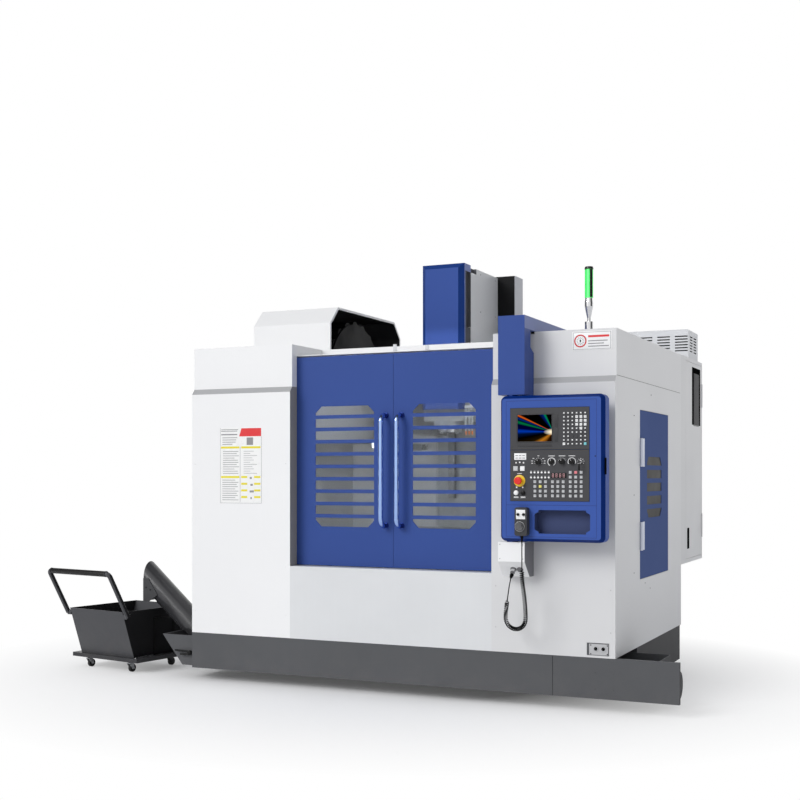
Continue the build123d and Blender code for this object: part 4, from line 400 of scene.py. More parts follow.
# Painted reflection: the side door's blue is lighter and greyer, with no mirror of its own
painted("side_blue_reflection", (0.10, 0.14, 0.305), (0.09, 0.125, 0.28), 0.5, 0.05, 0.0, mirror=0.0)
painted("head_blue", (0.044, 0.087, 0.315), (0.04, 0.08, 0.29), 0.5, 0.05, 0.0,
        tints=(HEAD_BEVEL_SHADE, LIT_BLUE_CROWN), mirror=0.06)
painted("panel_blue", (0.050, 0.102, 0.37), (0.046, 0.094, 0.34), 0.5, 0.05, 0.0,
        tints=(PANEL_BEVEL_SHADE, TRAY), mirror=0.06)
painted("grey_paint", (0.60, 0.61, 0.63), (0.54, 0.55, 0.57), 0.35, 0.1)
painted("cover_paint", (0.575, 0.585, 0.625), (0.52, 0.53, 0.56), 0.3, 0.1, tints=(COVER_FRONT,),
        mirror=0.1)
painted("dark_paint", (0.092, 0.094, 0.10), (0.078, 0.08, 0.085), 0.5, 0.1, 0.08, 0.3, 0.42,
        tints=(DARK_SIDE_SHADE,), mirror=0.2)
painted("bin_paint", (0.078, 0.079, 0.085), (0.07, 0.07, 0.075), 0.5, 0.1, 0.1, 0.4, 0.3,
        tints=(BIN_SIDE_SHADE,), mirror=0.12)
painted("guard_sheet", (0.58, 0.58, 0.585), (0.5, 0.5, 0.505), 0.4, 0.2, 0.1, 0.6, 0.6, mirror=0.12)
painted("black_paint", (0.045, 0.045, 0.049), (0.05, 0.05, 0.053), 0.5, 0.1, 0.1, 0.4, 0.28,
        mirror=0.12)
painted("tube_paint", (0.035, 0.035, 0.038), (0.04, 0.04, 0.043), 0.5, 0.1, 0.05, 0.4, 0.2,
        mirror=0.6)
painted("hinge_pale", (0.70, 0.74, 0.86), (0.62, 0.66, 0.78), 0.3, 0.1, 0.0)
make_finish("casting_paint", CAST, {"Paint": rgb(0.36, 0.37, 0.38)}, bump=0.35, depth=0.002)

metal("ground_iron", (0.42, 0.42, 0.43), (0.2, 0.2, 0.2), (6.0, 500.0, 500.0), 0.34)
metal("bright_steel", (0.62, 0.62, 0.63), (0.4, 0.4, 0.41), (300.0, 300.0, 5.0), 0.24)
metal("stainless", (0.50, 0.51, 0.52), (0.34, 0.35, 0.36), (5.0, 260.0, 260.0), 0.42)
metal("chrome", (0.40, 0.55, 0.93), (0.3, 0.44, 0.85), (30.0, 30.0, 4.0), 0.1, 0.2,
      tints=(HANDLE_FOOT_SHADE,))
metal("galvanised", (0.55, 0.56, 0.58), (0.4, 0.41, 0.42), (60.0, 60.0, 60.0), 0.45)
metal("lamp_plastic", (0.75, 0.75, 0.76), (0.55, 0.55, 0.56), (30.0, 30.0, 5.0), 0.14, 0.2)
metal("plug_metal", (0.3, 0.3, 0.31), (0.14, 0.14, 0.14), (200.0, 200.0, 200.0), 0.35)
# Painted shade: the tool magazine's steel is darkened like the shade inside the hood
metal("magazine_steel", (0.016, 0.016, 0.017), (0.012, 0.012, 0.012), (200.0, 200.0, 20.0), 0.5)
metal("rail_steel", (0.26, 0.26, 0.265), (0.2, 0.2, 0.205), (200.0, 200.0, 20.0), 0.55)

# Painted shade: the dark sheets in the neck of the head's cover
moulded("neck_shade_dark", (0.11, 0.112, 0.122), (0.12, 0.12, 0.13), 0.6, mirror=0.0)
moulded("recess_black", (0.004, 0.004, 0.004), (0.008, 0.008, 0.008), 0.6, mirror=0.0)
moulded("lamp_black", (0.006, 0.006, 0.007), (0.02, 0.02, 0.02), 0.3)
moulded("screen_plastic", (0.062, 0.062, 0.066), (0.07, 0.07, 0.075), 0.5, mirror=0.15)
moulded("pendant_plastic", (0.045, 0.045, 0.048), (0.06, 0.06, 0.062), 0.48, mirror=0.2)
moulded("dial_plastic", (0.09, 0.09, 0.095), (0.2, 0.2, 0.21), 0.28, 300.0)
moulded("red_plastic", (0.72, 0.018, 0.014), (0.8, 0.06, 0.04), 0.25, 200.0, 0.2)
moulded("cord_rubber", (0.004, 0.004, 0.0045), (0.008, 0.008, 0.008), 0.6, 700.0, mirror=0.06)
moulded("wheel_rubber", (0.01, 0.01, 0.01), (0.03, 0.029, 0.028), 0.4, 500.0, 0.4, mirror=0.3)
moulded("unit_key", (0.085, 0.085, 0.09), (0.12, 0.12, 0.12), 0.45)
moulded("outlet_grey", (0.46, 0.46, 0.47), (0.42, 0.42, 0.42), 0.5)
moulded("sheet_white", (0.85, 0.85, 0.84), (0.8, 0.8, 0.78), 0.3, 900.0, 0.2)
moulded("key_light", (0.52, 0.53, 0.54), (0.62, 0.62, 0.62), 0.45)
moulded("key_white", (0.86, 0.86, 0.86), (0.75, 0.75, 0.74), 0.4)
moulded("key_yellow", (0.8, 0.72, 0.16), (0.8, 0.75, 0.3), 0.4)
moulded("key_pink", (0.78, 0.22, 0.25), (0.8, 0.35, 0.35), 0.4)
moulded("key_cyan", (0.18, 0.55, 0.6), (0.3, 0.6, 0.65), 0.4)
moulded("knob_black", (0.006, 0.006, 0.006), (0.015, 0.015, 0.015), 0.35, mirror=0.2)
moulded("stop_yellow", (0.85, 0.55, 0.01), (0.8, 0.6, 0.1), 0.35)
moulded("print_white", (0.85, 0.85, 0.85), (0.7, 0.7, 0.7), 0.5, 900.0, 0.2)
moulded("print_grey", (0.25, 0.25, 0.26), (0.35, 0.35, 0.35), 0.5)
moulded("print_red", (0.7, 0.02, 0.025), (0.75, 0.08, 0.07), 0.45)
moulded("print_yellow", (0.76, 0.68, 0.02), (0.76, 0.68, 0.1), 0.45)
moulded("nozzle_orange", (0.8, 0.22, 0.03), (0.8, 0.3, 0.1), 0.4)
moulded("seam_dark", (0.12, 0.12, 0.125), (0.2, 0.2, 0.2), 0.6)
moulded("groove_blue", (0.001, 0.016, 0.125), (0.02, 0.04, 0.16), 0.5)
glowing("work_light", (0.97, 0.98, 1.0), 28.0)
glowing("digits_red", (0.62, 0.34, 0.36), 0.15)


def clear_pane(name, colour, roughness, clear=1.0, mirror=0.5):
    """Safety glass or clear plastic, as clear as asked."""
    g, shader = new_material(name)
    smears = g.noise(g.add("ShaderNodeTexCoord").outputs["Object"], 7.0, 5.0, 0.6)
    g.fill(shader, {"Roughness": g.spread(smears, 0.35, 0.8, roughness, roughness + 0.12),
                    "Base Color": rgb(*colour), "Transmission Weight": clear, "IOR": 1.3,
                    "Specular IOR Level": mirror})
    return g, shader


def lens_finish():
    """The lamp's lit green lens, with a painted highlight along its front."""
    g, shader = clear_pane("lens_plastic", (0.08, 0.85, 0.2), 0.08, 0.5)
    facing = g.parts(g.add("ShaderNodeNewGeometry").outputs["Normal"])["Y"]
    # Painted highlight: brighter glow on the faces that look forwards
    streak = g.spread(facing, -0.998, -0.95, 1.0, 0.0)
    g.fill(shader, {"Emission Color": g.mix(streak, rgb(0.03, 0.26, 0.04), rgb(0.34, 0.95, 0.4)),
                    "Emission Strength": 0.6})


SCREEN_X, SCREEN_Z = (834, 1018), (1407, 1544)
SCREEN_RAYS = (
    (0.0, (0, 0, 0)), (0.15, (0.02, 0.005, 0)), (0.26, (0.40, 0.14, 0.01)),
    (0.33, (0.01, 0.005, 0)), (0.43, (0, 0, 0)), (0.48, (0, 0.005, 0.03)),
    (0.515, (0, 0.03, 0.34)), (0.545, (0, 0, 0.03)), (0.59, (0, 0, 0.02)),
    (0.615, (0, 0.15, 0.04)), (0.633, (0, 0, 0.01)), (0.652, (0, 0.02, 0.16)),
    (0.664, (0, 0, 0)), (0.676, (0.62, 0.10, 0.01)), (0.69, (0, 0, 0)), (0.81, (0, 0, 0)),
    (0.86, (0, 0.01, 0.12)), (0.885, (0, 0.20, 0.06)), (0.905, (0, 0, 0)))


def screen_finish():
    """A dark control page: thin coloured rays that meet in a white spot at its right edge."""
    g, shader = new_material("screen_page")
    place = g.parts(g.add("ShaderNodeTexCoord").outputs["Object"])
    low, high = (spot(SCREEN_X[n], UNIT_FACE, SCREEN_Z[n]) for n in (0, 1))
    across = g.minus(1.04, g.spread(place["X"], low.x, high.x))
    up = g.minus(g.spread(place["Z"], low.z, high.z), 0.35)
    turn = g.math("ARCTAN2", up, across)
    ramp = g.add("ShaderNodeValToRGB", {0: g.spread(turn, -pi / 2, pi / 2)})
    stops = ramp.color_ramp.elements
    while len(stops) < len(SCREEN_RAYS):
        stops.new(0.5)
    for stop, (position, colour) in zip(stops, SCREEN_RAYS):
        stop.position, stop.color = position, rgb(*colour)
    flat_across = g.times(across, 0.45)
    reach = g.math("SQRT", g.plus(g.times(flat_across, flat_across), g.times(up, up)))
    lit = g.mix(g.spread(reach, 0.03, 0.13, 1.0, 0.0), ramp.outputs["Color"], rgb(1.0, 0.88, 0.62))
    g.fill(shader, {"Emission Color": lit, "Base Color": rgb(0, 0, 0), "Emission Strength": 1.15,
                    "Roughness": 0.3, "Specular IOR Level": 0.0})


clear_pane("window", (0.86, 0.9, 0.9), 0.02)
clear_pane("window_dark", (0.035, 0.032, 0.024), 0.3, 0.3, 0.05)
lens_finish()
screen_finish()

# Finishes that differ from the record's slot of the node
NODE_FINISH = {
    "tool_hood": "hood_paint", "socket_box": "socket_paint", "roof_frame": "plain_white",
    "transformer_box": "box_paint", "linear_rails": "rail_steel", "panel_arm": "arm_blue",
    "side_door_glass": "window_dark", "side_door": "side_blue_reflection", "cart_bin": "bin_paint",
    "front_lower_panel": "white_paint_middle_shaded", "right_cabinet": "white_paint_right_shaded",
    "left_cabinet": "white_paint_left", "electrical_cabinet": "cabinet_paint",
    "cabinet_door": "cabinet_paint", "splash_guard": "guard_sheet", "column_cover": "cover_paint",
    "head_front_cover": "head_blue", "panel_housing": "panel_blue", "cart_tray": "black_paint",
    "conveyor_tube": "tube_paint"}


def finish_nodes():
    """Gives every node of the part its finish."""
    for row in frame["record"]["subparts"]:
        material = FINISH[NODE_FINISH.get(row["node"], row["material_slot"])]
        for held in nodes[row["node"]].material_slots:
            held.material = material


# Shapes: a part is a function that adds itself, in millimetres, to a bmesh

def block(x, y, z, bevel=0.0):
    """A box given its low and high ends, with rounded edges if asked."""
    def add(shape):
        size = Matrix.Diagonal((x[1] - x[0], y[1] - y[0], z[1] - z[0], 1))
        middle = Vector((sum(x), sum(y), sum(z))) / 2
        made = bmesh.ops.create_cube(shape, size=1, matrix=Matrix.Translation(middle) @ size)
        if bevel:
            edges = {edge for vert in made["verts"] for edge in vert.link_edges}
            bmesh.ops.bevel(shape, geom=list(edges), offset=bevel, segments=2, affect="EDGES",
                            profile=0.6)
    return add


def flat(y, boxes, bevel=0.0):
    """Boxes on a front face, given by their X and Z ends and one pair of Y ends."""
    return [block(x, y, z, bevel) for x, z in boxes]


def turned(start, direction, profile, sides=32):
    """A closed turned shape: its profile taken round an axis."""
    def add(shape):
        turn = Vector(direction).normalized().to_track_quat("Z", "Y").to_matrix().to_4x4()
        place = Matrix.Translation(Vector(start)) @ turn
        angles = [tau * n / sides for n in range(sides)]
        rings = [[shape.verts.new(place @ Vector((r * cos(a), r * sin(a), h))) for a in angles]
                 for r, h in profile]
        for low, high in zip(rings, rings[1:]):
            for n in range(sides):
                shape.faces.new((low[n - 1], low[n], high[n], high[n - 1]))
        shape.faces.new(list(reversed(rings[0])))
        shape.faces.new(rings[-1])
    return add


def turned_at(places, direction, profile, sides=32):
    """The same turned shape at several places."""
    return [turned(place, direction, profile, sides) for place in places]


def rod(start, direction, radius, length, sides=24):
    """A plain round bar."""
    return turned(start, direction, ((radius, 0), (radius, length)), sides)


def drawn(points, shift):
    """A flat outline drawn out along a vector."""
    def add(shape):
        low = [shape.verts.new(Vector(p)) for p in points]
        high = [shape.verts.new(Vector(p) + Vector(shift)) for p in points]
        shape.faces.new(low)
        shape.faces.new(high)
        for n in range(len(low)):
            shape.faces.new((low[n - 1], low[n], high[n], high[n - 1]))
    return add


def placed(place, *parts):
    """Parts that are turned and moved together."""
    def add(shape):
        before = set(shape.verts)
        for part in parts:
            part(shape)
        moved = [vert for vert in shape.verts if vert not in before]
        bmesh.ops.transform(shape, matrix=place, verts=moved)
    return add


def closed_mesh(name, parts, scale):
    """The mesh of some parts, closed up and taken to metres."""
    shape = bmesh.new()
    for part in parts:
        part(shape)
    bmesh.ops.remove_doubles(shape, verts=shape.verts, dist=1e-4)
    bmesh.ops.recalc_face_normals(shape, faces=shape.faces)
    shape.transform(scale)
    mesh = bpy.data.meshes.new(name)
    shape.to_mesh(mesh)
    shape.free()
    return mesh


def finished(name, mesh, finish, body, smooth_angle=40.0):
    """A mesh in the frame's metres, made a named piece that moves with a body."""
    mesh.materials.clear()
    mesh.materials.append(FINISH[finish])
    mesh.shade_smooth()
    mesh.set_sharp_from_angle(angle=radians(smooth_angle))
    made = link(name, mesh)
    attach(made, body)
    return made


def piece(name, finish, body, *parts):
    """A named piece of one finish, made of its parts."""
    return finished(name, closed_mesh(name, parts, TO_FRAME), finish, body)


# The pendant's cord

CORD_TOP = (864, -203, 904)
CORD_ROUTE = (
    CORD_TOP, (864, -203, 745), (864, -203, 705), (868, -199, 660), (873, -190, 605),
    (875, -180, 543), (874, -170.5, 480), (857, -161.9, 450.5), (827.5, -153.3, 433.5),
    (793.5, -144.7, 433.5), (764, -136.1, 450.5), (747, -127.5, 480), (746.4, -116.5, 528.4),
    (757, -130, 570), (786, -167.2, 684.2), (786, -138.6, 712.2))
CORD = 6.0
CURL_OUTSIDE = 24.5
CURL_PITCH = 10.6
CURL_POINTS = 12
CURL_STARTS_BELOW = 753.0
CURL_STOPS_ABOVE = 585.0


def spline_curve(name, points, steps):
    """A curve of one smooth open spline whose control points are given in metres."""
    data = bpy.data.curves.new(name, "CURVE")
    data.dimensions = "3D"
    data.resolution_u = steps
    spline = data.splines.new("NURBS")
    spline.points.add(len(points) - 1)
    for control, place in zip(spline.points, points):
        control.co = (*place, 1)
    spline.order_u = 3
    spline.use_endpoint_u = True
    return bpy.data.objects.new(name, data)


def evaluated_mesh(holder):
    """The finished mesh of a curve or of an object with modifiers."""
    bpy.context.scene.collection.objects.link(holder)
    bpy.context.view_layer.update()
    graph = bpy.context.evaluated_depsgraph_get()
    mesh = bpy.data.meshes.new_from_object(holder.evaluated_get(graph))
    bpy.context.scene.collection.objects.unlink(holder)
    return mesh


def line_of(curve):
    """The points along a curve with no thickness."""
    return [vert.co.copy() for vert in evaluated_mesh(curve).vertices]


def spaced_along(line, step):
    """Points at even steps along a line, and the direction at each."""
    places, done = [], 0.0
    for a, b in zip(line, line[1:]):
        run = b - a
        while done <= run.length:
            places.append((a + run * (done / run.length), run.normalized()))
            done += step
        done -= run.length
    return places


def curled(line):
    """The route's line, wound into a helix on the stretch between the straight ends."""
    step = CURL_PITCH / CURL_POINTS * MM
    places = spaced_along(line, step)
    bottom = min(range(len(places)), key=lambda n: places[n][0].z)
    first = next(n for n, (p, _) in enumerate(places) if p.z < CURL_STARTS_BELOW * MM)
    last = next(n for n in range(bottom, len(places)) if places[n][0].z > CURL_STOPS_ABOVE * MM)
    reach = (CURL_OUTSIDE - CORD) / 2 * MM
    side, points, angle = Vector((1, 0, 0)), [], 0.0
    straight_step, growth = 3 * CURL_POINTS, 2 * CURL_POINTS
    for n, (place, ahead) in enumerate(places):
        side = (side - ahead * side.dot(ahead)).normalized()
        if n < first or n > last:
            if n % straight_step == 0:
                points.append(place)
            continue
        size = min(1.0, (n - first) / growth, (last - n) / growth)
        angle += tau / CURL_POINTS * size
        points.append(place + (side * cos(angle) + ahead.cross(side) * sin(angle)) * reach * size)
    if (points[-1] - line[-1]).length > 0.5 * straight_step * step:
        points.append(line[-1])
    else:
        points[-1] = line[-1]
    return points


def add_cord():
    """The pendant's cord as one tube, curly between two straight ends, up to its plug."""
    points = curled(line_of(spline_curve("route", [spot(*p) for p in CORD_ROUTE], 24)))
    centre = line_of(spline_curve("centre", points, 2))
    tube = spline_curve("tube", points, 2)
    tube.data.bevel_depth = CORD / 2 * MM
    tube.data.bevel_resolution = 2
    mesh = evaluated_mesh(tube)
    mesh.materials.append(FINISH["cord_rubber"])
    mesh.shade_smooth()
    cord = link("pendant_cord", mesh)
    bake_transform(cord)
    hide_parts("cord_drop", "cord_curl", "cord_tail")
    sleeve = piece("pendant_strain_relief", "cord_rubber", "panel",
                   turned((864, -203, 924), DOWNWARDS, (
                       (8.0, 0), (8.4, 2), (8.2, 6), (7.6, 8), (7.8, 10), (7.0, 12), (7.2, 14),
                       (6.2, 17), (6.4, 19), (5.2, 23), (4.6, 30), (3.4, 30.5)), 24))


# Geometry Nodes: what repeats

def tree_with(name, **inputs):
    """An empty geometry tree with named inputs; gives its graph and its inputs."""
    tree = bpy.data.node_groups.new(name, "GeometryNodeTree")
    for label, kind in {"Geometry": "Geometry", "Piece": "Object", "Finish": "Material",
                        **inputs}.items():
        tree.interface.new_socket(name=label, in_out="INPUT", socket_type="NodeSocket" + kind)
    tree.interface.new_socket(name="Geometry", in_out="OUTPUT", socket_type="NodeSocketGeometry")
    return Graph(tree), tree.nodes.new("NodeGroupInput").outputs


def copies(g, given, points, **inputs):
    """The tree's piece on every point."""
    info = g.add("GeometryNodeObjectInfo", {"Object": given["Piece"]})
    return g.out("GeometryNodeInstanceOnPoints", {
        "Points": points, "Instance": info.outputs["Geometry"], **inputs})


def close_tree(g, given, many):
    """Realizes the copies, sets their finish and ends the tree."""
    real = g.out("GeometryNodeRealizeInstances", {0: many})
    return g.close(Geometry=g.out("GeometryNodeSetMaterial", {"Geometry": real,
                                                              "Material": given["Finish"]}))


def close_upright(g, given, many):
    """Turns a flat pattern to the front, takes it to its middle and ends the tree."""
    return close_tree(g, given, g.out("GeometryNodeTransform", {
        "Geometry": many, "Translation": given["Middle"], "Rotation": (pi / 2, 0, 0)}))


def places_tree():
    """Sets one piece on every point, its Z axis along the point's own `facing`."""
    g, given = tree_with("set_on_places", Size="Float")
    facing = g.out("GeometryNodeInputNamedAttribute", {"Name": "facing"},
                   data_type="FLOAT_VECTOR")
    turn = g.out("FunctionNodeAlignRotationToVector", {"Vector": facing}, axis="Z")
    return close_tree(g, given, copies(g, given, given["Geometry"], Rotation=turn,
                                       Scale=given["Size"]))


def rows_tree():
    """Rows and columns of one piece, standing on a front face, from its middle place."""
    g, given = tree_with("rows_of_piece", Columns="Int", Rows="Int", Across="Float", Up="Float",
                         Middle="Vector")
    grid = g.out("GeometryNodeMeshGrid", {
        "Size X": g.times(g.minus(given["Columns"], 1.0), given["Across"]),
        "Size Y": g.times(g.minus(given["Rows"], 1.0), given["Up"]),
        "Vertices X": given["Columns"], "Vertices Y": given["Rows"]})
    return close_upright(g, given, copies(g, given, grid))


def dial_tree():
    """Marks spread along an arc on a front face, pointing at its middle."""
    g, given = tree_with("marks_round_dial", Count="Int", Radius="Float", Start="Float",
                         Sweep="Float", Middle="Vector")
    arc = g.out("GeometryNodeCurveArc", {
        "Resolution": given["Count"], "Radius": given["Radius"], "Start Angle": given["Start"],
        "Sweep Angle": given["Sweep"]})
    turn = g.out("FunctionNodeAlignRotationToVector", {
        "Vector": g.out("GeometryNodeInputPosition")}, axis="X", pivot_axis="Z")
    return close_upright(g, given, copies(g, given, arc, Rotation=turn))


PLACES, ROWS, DIAL = places_tree(), rows_tree(), dial_tree()


def template(name, *parts):
    """A small mesh at zero, Z outwards, that a tree repeats."""
    return bpy.data.objects.new(name, closed_mesh(name, parts, Matrix.Scale(MM, 4)))


def cap(size, rise, top=0.84):
    """A square key cap with a sloped edge."""
    corner = size / 2 * 2 ** 0.5
    return template("cap", placed(Matrix.Rotation(pi / 4, 4, "Z"), turned(
        (0, 0, 0), UPWARDS, ((corner, 0), (corner, rise * 0.55), (corner * top, rise)), 4)))


def bar(length, width, height=0.3):
    """A flat printed bar."""
    return template("bar", block((-length / 2, length / 2), (-width / 2, width / 2), (0, height)))


def disc(radius, rise):
    """A small round button or lamp with a rounded edge."""
    return template("disc", turned((0, 0, 0), UPWARDS, (
        (radius, 0), (radius, rise * 0.6), (radius * 0.75, rise)), 16))


def grown(name, finish, body, tree, start, **values):
    """Runs a geometry tree with its inputs set, and keeps the result as one plain piece."""
    holder = bpy.data.objects.new(name + "_source", start)
    modifier = holder.modifiers.new("grow", "NODES")
    modifier.node_group = tree
    identifiers = {item.name: item.identifier for item in tree.interface.items_tree
                   if item.item_type == "SOCKET" and item.in_out == "INPUT"}
    for label, value in {**values, "Finish": FINISH[finish]}.items():
        modifier[identifiers[label]] = value
    mesh = evaluated_mesh(holder)
    holder.modifiers.clear()
    return finished(name, mesh, finish, body, 30.0)


def set_on(name, finish, body, repeated, places, facing=FORWARDS, size=1.0):
    """One piece set on each of several places that face one way."""
    mesh = bpy.data.meshes.new(name)
    mesh.from_pydata([spot(*place) for place in places], [], [])
    for item in mesh.attributes.new("facing", "FLOAT_VECTOR", "POINT").data:
        item.vector = facing
    grown(name, finish, body, PLACES, mesh, Piece=repeated, Size=size)


def rows_of(name, finish, body, repeated, columns, rows, across, up, middle):
    """Rows and columns of one piece on a front face."""
    grown(name, finish, body, ROWS, bpy.data.meshes.new(name), Piece=repeated, Columns=columns,
          Rows=rows, Across=across * MM, Up=up * MM, Middle=spot(*middle))


def marks_round(name, finish, body, mark, count, radius, start, sweep, middle):
    """Marks round a dial on a front face, from a start angle over a sweep, in degrees."""
    grown(name, finish, body, DIAL, bpy.data.meshes.new(name), Piece=mark, Count=count,
          Radius=radius * MM, Start=radians(start), Sweep=radians(sweep), Middle=spot(*middle))


SCREW = template("socket_screw", turned((0, 0, -1), UPWARDS, (
    (6.0, 0), (6.0, 1.8), (4.4, 2.0), (4.4, 5.0), (3.8, 5.6), (2.2, 5.6), (2.0, 3.4)), 12))


def screws(name, finish, body, places, facing=FORWARDS):
    """Small socket-head screws on their washers."""
    set_on(name, finish, body, SCREW, places, facing, 0.55)


def on(y, *pairs):
    """Places on a front face, given by their X and Z."""
    return [(x, y, z) for x, z in pairs]


def grid(xs, y, zs):
    """Places on a front face in rows and columns."""
    return [(x, y, z) for x in xs for z in zs]


def ring(count, radius, start=0.0):
    """Offsets evenly round a circle."""
    angles = [start + tau * n / count for n in range(count)]
    return [(radius * cos(angle), radius * sin(angle)) for angle in angles]


def border(x, z, wide):
    """The four edges of a frame, as boxes on a front face."""
    return [(x, (z[1] - wide, z[1])), (x, (z[0], z[0] + wide)), ((x[0], x[0] + wide), z),
            ((x[1] - wide, x[1]), z)]


# Operator panel

KEY_X = [1083.0 + 22.2 * n for n in range(6)]
KEY_Z = [1393.0 + 19.6 * n for n in range(9)]
WHITE_KEYS = [(c, r) for c in (3, 4, 5) for r in (5, 6, 7)] + [(4, 4), (0, 0)]
BLANK_KEYS = [(2, 2), (3, 2)]
RESET_KEY = (5, 0)
KNOB_X = (946.0, 1017.0, 1072.0, 1124.0)
KNOB_Z = 1302.0
PAD_X = (928.0, 1022.0, 1116.0)
PAD_Z = 1128.0


def add_screen_unit():
    """Bezel, lit page, soft-key strips and the key caps with their prints."""
    face, page = UNIT_FACE, UNIT_FACE + 4
    piece("screen_page", "screen_page", "panel", block(SCREEN_X, (page - 0.6, page), SCREEN_Z))
    rim = (((828, 1024), (1544, 1550)), ((828, 1024), (1401, 1407)), ((828, 834), SCREEN_Z),
           ((1018, 1024), SCREEN_Z))
    piece("screen_bezel", "pendant_plastic", "panel", *flat((face - 1.6, face), rim, 0.4))
    strips = (((1032, 1052), (1478, 1548)), ((1032, 1052), (1402, 1472)), (SCREEN_X, (1380, 1393)))
    piece("soft_key_strips", "pendant_plastic", "panel", *flat((face - 1.0, face), strips, 0.4))
    spare = [(c, r) for c in range(6) for r in range(9)
             if (c, r) not in (*WHITE_KEYS, *BLANK_KEYS, RESET_KEY)]

    def at(keys, out=0.0, up=0.0):
        return [(KEY_X[c], face - out, KEY_Z[r] + up) for c, r in keys]
    key = cap(12.8, 3.2)
    set_on("keypad_caps_grey", "unit_key", "panel", key, at(spare))
    set_on("keypad_caps_white", "key_white", "panel", key, at(WHITE_KEYS), size=1.06)
    set_on("keypad_caps_blank", "screen_plastic", "panel", key, at(BLANK_KEYS))
    set_on("keypad_cap_reset", "key_cyan", "panel", key, at([RESET_KEY]), size=1.06)
    set_on("keypad_prints", "print_white", "panel", bar(7.0, 5.6), at(spare, 3.2))
    set_on("keypad_legends", "print_grey", "panel", bar(8.0, 1.6), at(WHITE_KEYS, 3.4, 0.8))


def add_knobs():
    """Grips with a white line, and the printed dials round them."""
    face = UNIT_FACE
    piece("switch_grips", "knob_black", "panel", *turned_at(
        grid(KNOB_X, face, (KNOB_Z,)), FORWARDS,
        ((13.6, 0), (13.6, 4), (12.6, 5), (12.6, 17), (11.6, 18)), 28))
    ridge = block((-2.2, 2.2), (-2.0, 0), (-12.5, 12.5), 0.6)
    piece("switch_ridges", "knob_black", "panel", *(
        placed(Matrix.Translation((x, face - 18, KNOB_Z))
               @ Matrix.Rotation(radians(angle), 4, "Y"), ridge)
        for x, angle in zip(KNOB_X, (20, -35, 10, 50))))
    piece("switch_pointers", "print_white", "panel", *flat(
        (face - 20.4, face - 20.0), [((x - 0.9, x + 0.9), (KNOB_Z + 5, KNOB_Z + 12))
                                     for x in KNOB_X]))
    tick, wide = bar(4.2, 1.3), bar(4.2, 3.4)
    for n, (mark, count, start, sweep) in enumerate((
            (tick, 9, -20, 220), (wide, 26, -60, 300), (tick, 7, 25, 130), (wide, 17, -25, 230))):
        marks_round(f"switch_dial_{n + 1}", "print_white", "panel", mark, count, 20.0, start,
                    sweep, (KNOB_X[n], face, KNOB_Z))
    set_on("switch_captions", "print_white", "panel", bar(34.0, 3.0),
           grid(KNOB_X[1:], face, (KNOB_Z + 30,)))
    labels = ((-33, -7), (-34, 5), (-26, 18), (34, -7), (35, 5), (26, 18), (0, 31))
    set_on("mode_labels", "print_white", "panel", bar(9.0, 3.0),
           [(KNOB_X[0] + x, face, KNOB_Z + z) for x, z in labels])


def add_key_switch():
    """The key switch with its ring, its key and the tag that hangs from it."""
    x, z, face = 1171.0, KNOB_Z, UNIT_FACE
    piece("key_switch_ring", "bright_steel", "panel", turned(
        (x, face, z), FORWARDS, ((10.5, 0), (10.5, 6), (9.6, 8.8), (4, 9.0))))
    piece("panel_key", "knob_black", "panel",
          block((x - 1, x + 1), (face - 26, face - 8), (z - 4, z + 4), 0.4),
          turned((x - 1.5, face - 32, z), SIDEWAYS, ((9, 0), (9, 3), (3, 3.2)), 20),
          block((x - 5, x + 5), (face - 34, face - 31.5), (z - 44, z - 10), 1.0))
    marks_round("key_switch_dial", "print_white", "panel", bar(3.6, 3.0), 7, 16.0, -30, 240,
                (x, face, z))


def add_pads():
    """Square key caps in three groups, signal lights and the counter."""
    face, key, line = UNIT_FACE, cap(14.2, 3.4), bar(7.5, 1.4)
    coloured = {(0, 2): "key_yellow", (2, 5): "key_pink"}

    def at(group, column, row, out=0.0, up=0.0):
        return PAD_X[group] + 28.5 * column, face - out, PAD_Z + 24.0 * row + up
    for group, rows in enumerate((4, 4, 6)):
        plain = [(group, c, r) for c in range(3) for r in range(rows)
                 if not (c == 1 and (group, r) in coloured)]
        set_on(f"pad_caps_{group + 1}", "key_light", "panel", key, [at(*p) for p in plain])
        set_on(f"pad_prints_{group + 1}", "print_grey", "panel", line,
               [at(*p, 3.4, 1.5) for p in plain])
    for (group, row), finish in coloured.items():
        set_on(f"pad_cap_{finish[4:]}", finish, "panel", key, [at(group, 1, row)])
    rows_of("signal_lights", "print_white", "panel", disc(5.2, 1.6), 6, 2, 19.0, 26.0,
            (954.5, face, 1235.0))
    rows_of("signal_captions", "print_grey", "panel", bar(10.0, 1.6), 6, 2, 19.0, 26.0,
            (954.5, face, 1244.0))
    piece("counter_window", "knob_black", "panel",
          block((1013, 1096), (face - 1.2, face), (1219, 1246), 0.4))
    strokes = []
    for x in range(1020, 1096, 19):
        strokes += [((x, x + 9), z) for z in ((1223.0, 1224.6), (1231.6, 1233.2),
                                              (1240.2, 1241.8))]
        strokes += [((left, left + 1.6), (1224.6, 1240.2)) for left in (x, x + 7.4)]
    piece("counter_digits", "digits_red", "panel", *flat((face - 1.5, face - 1.2), strokes))


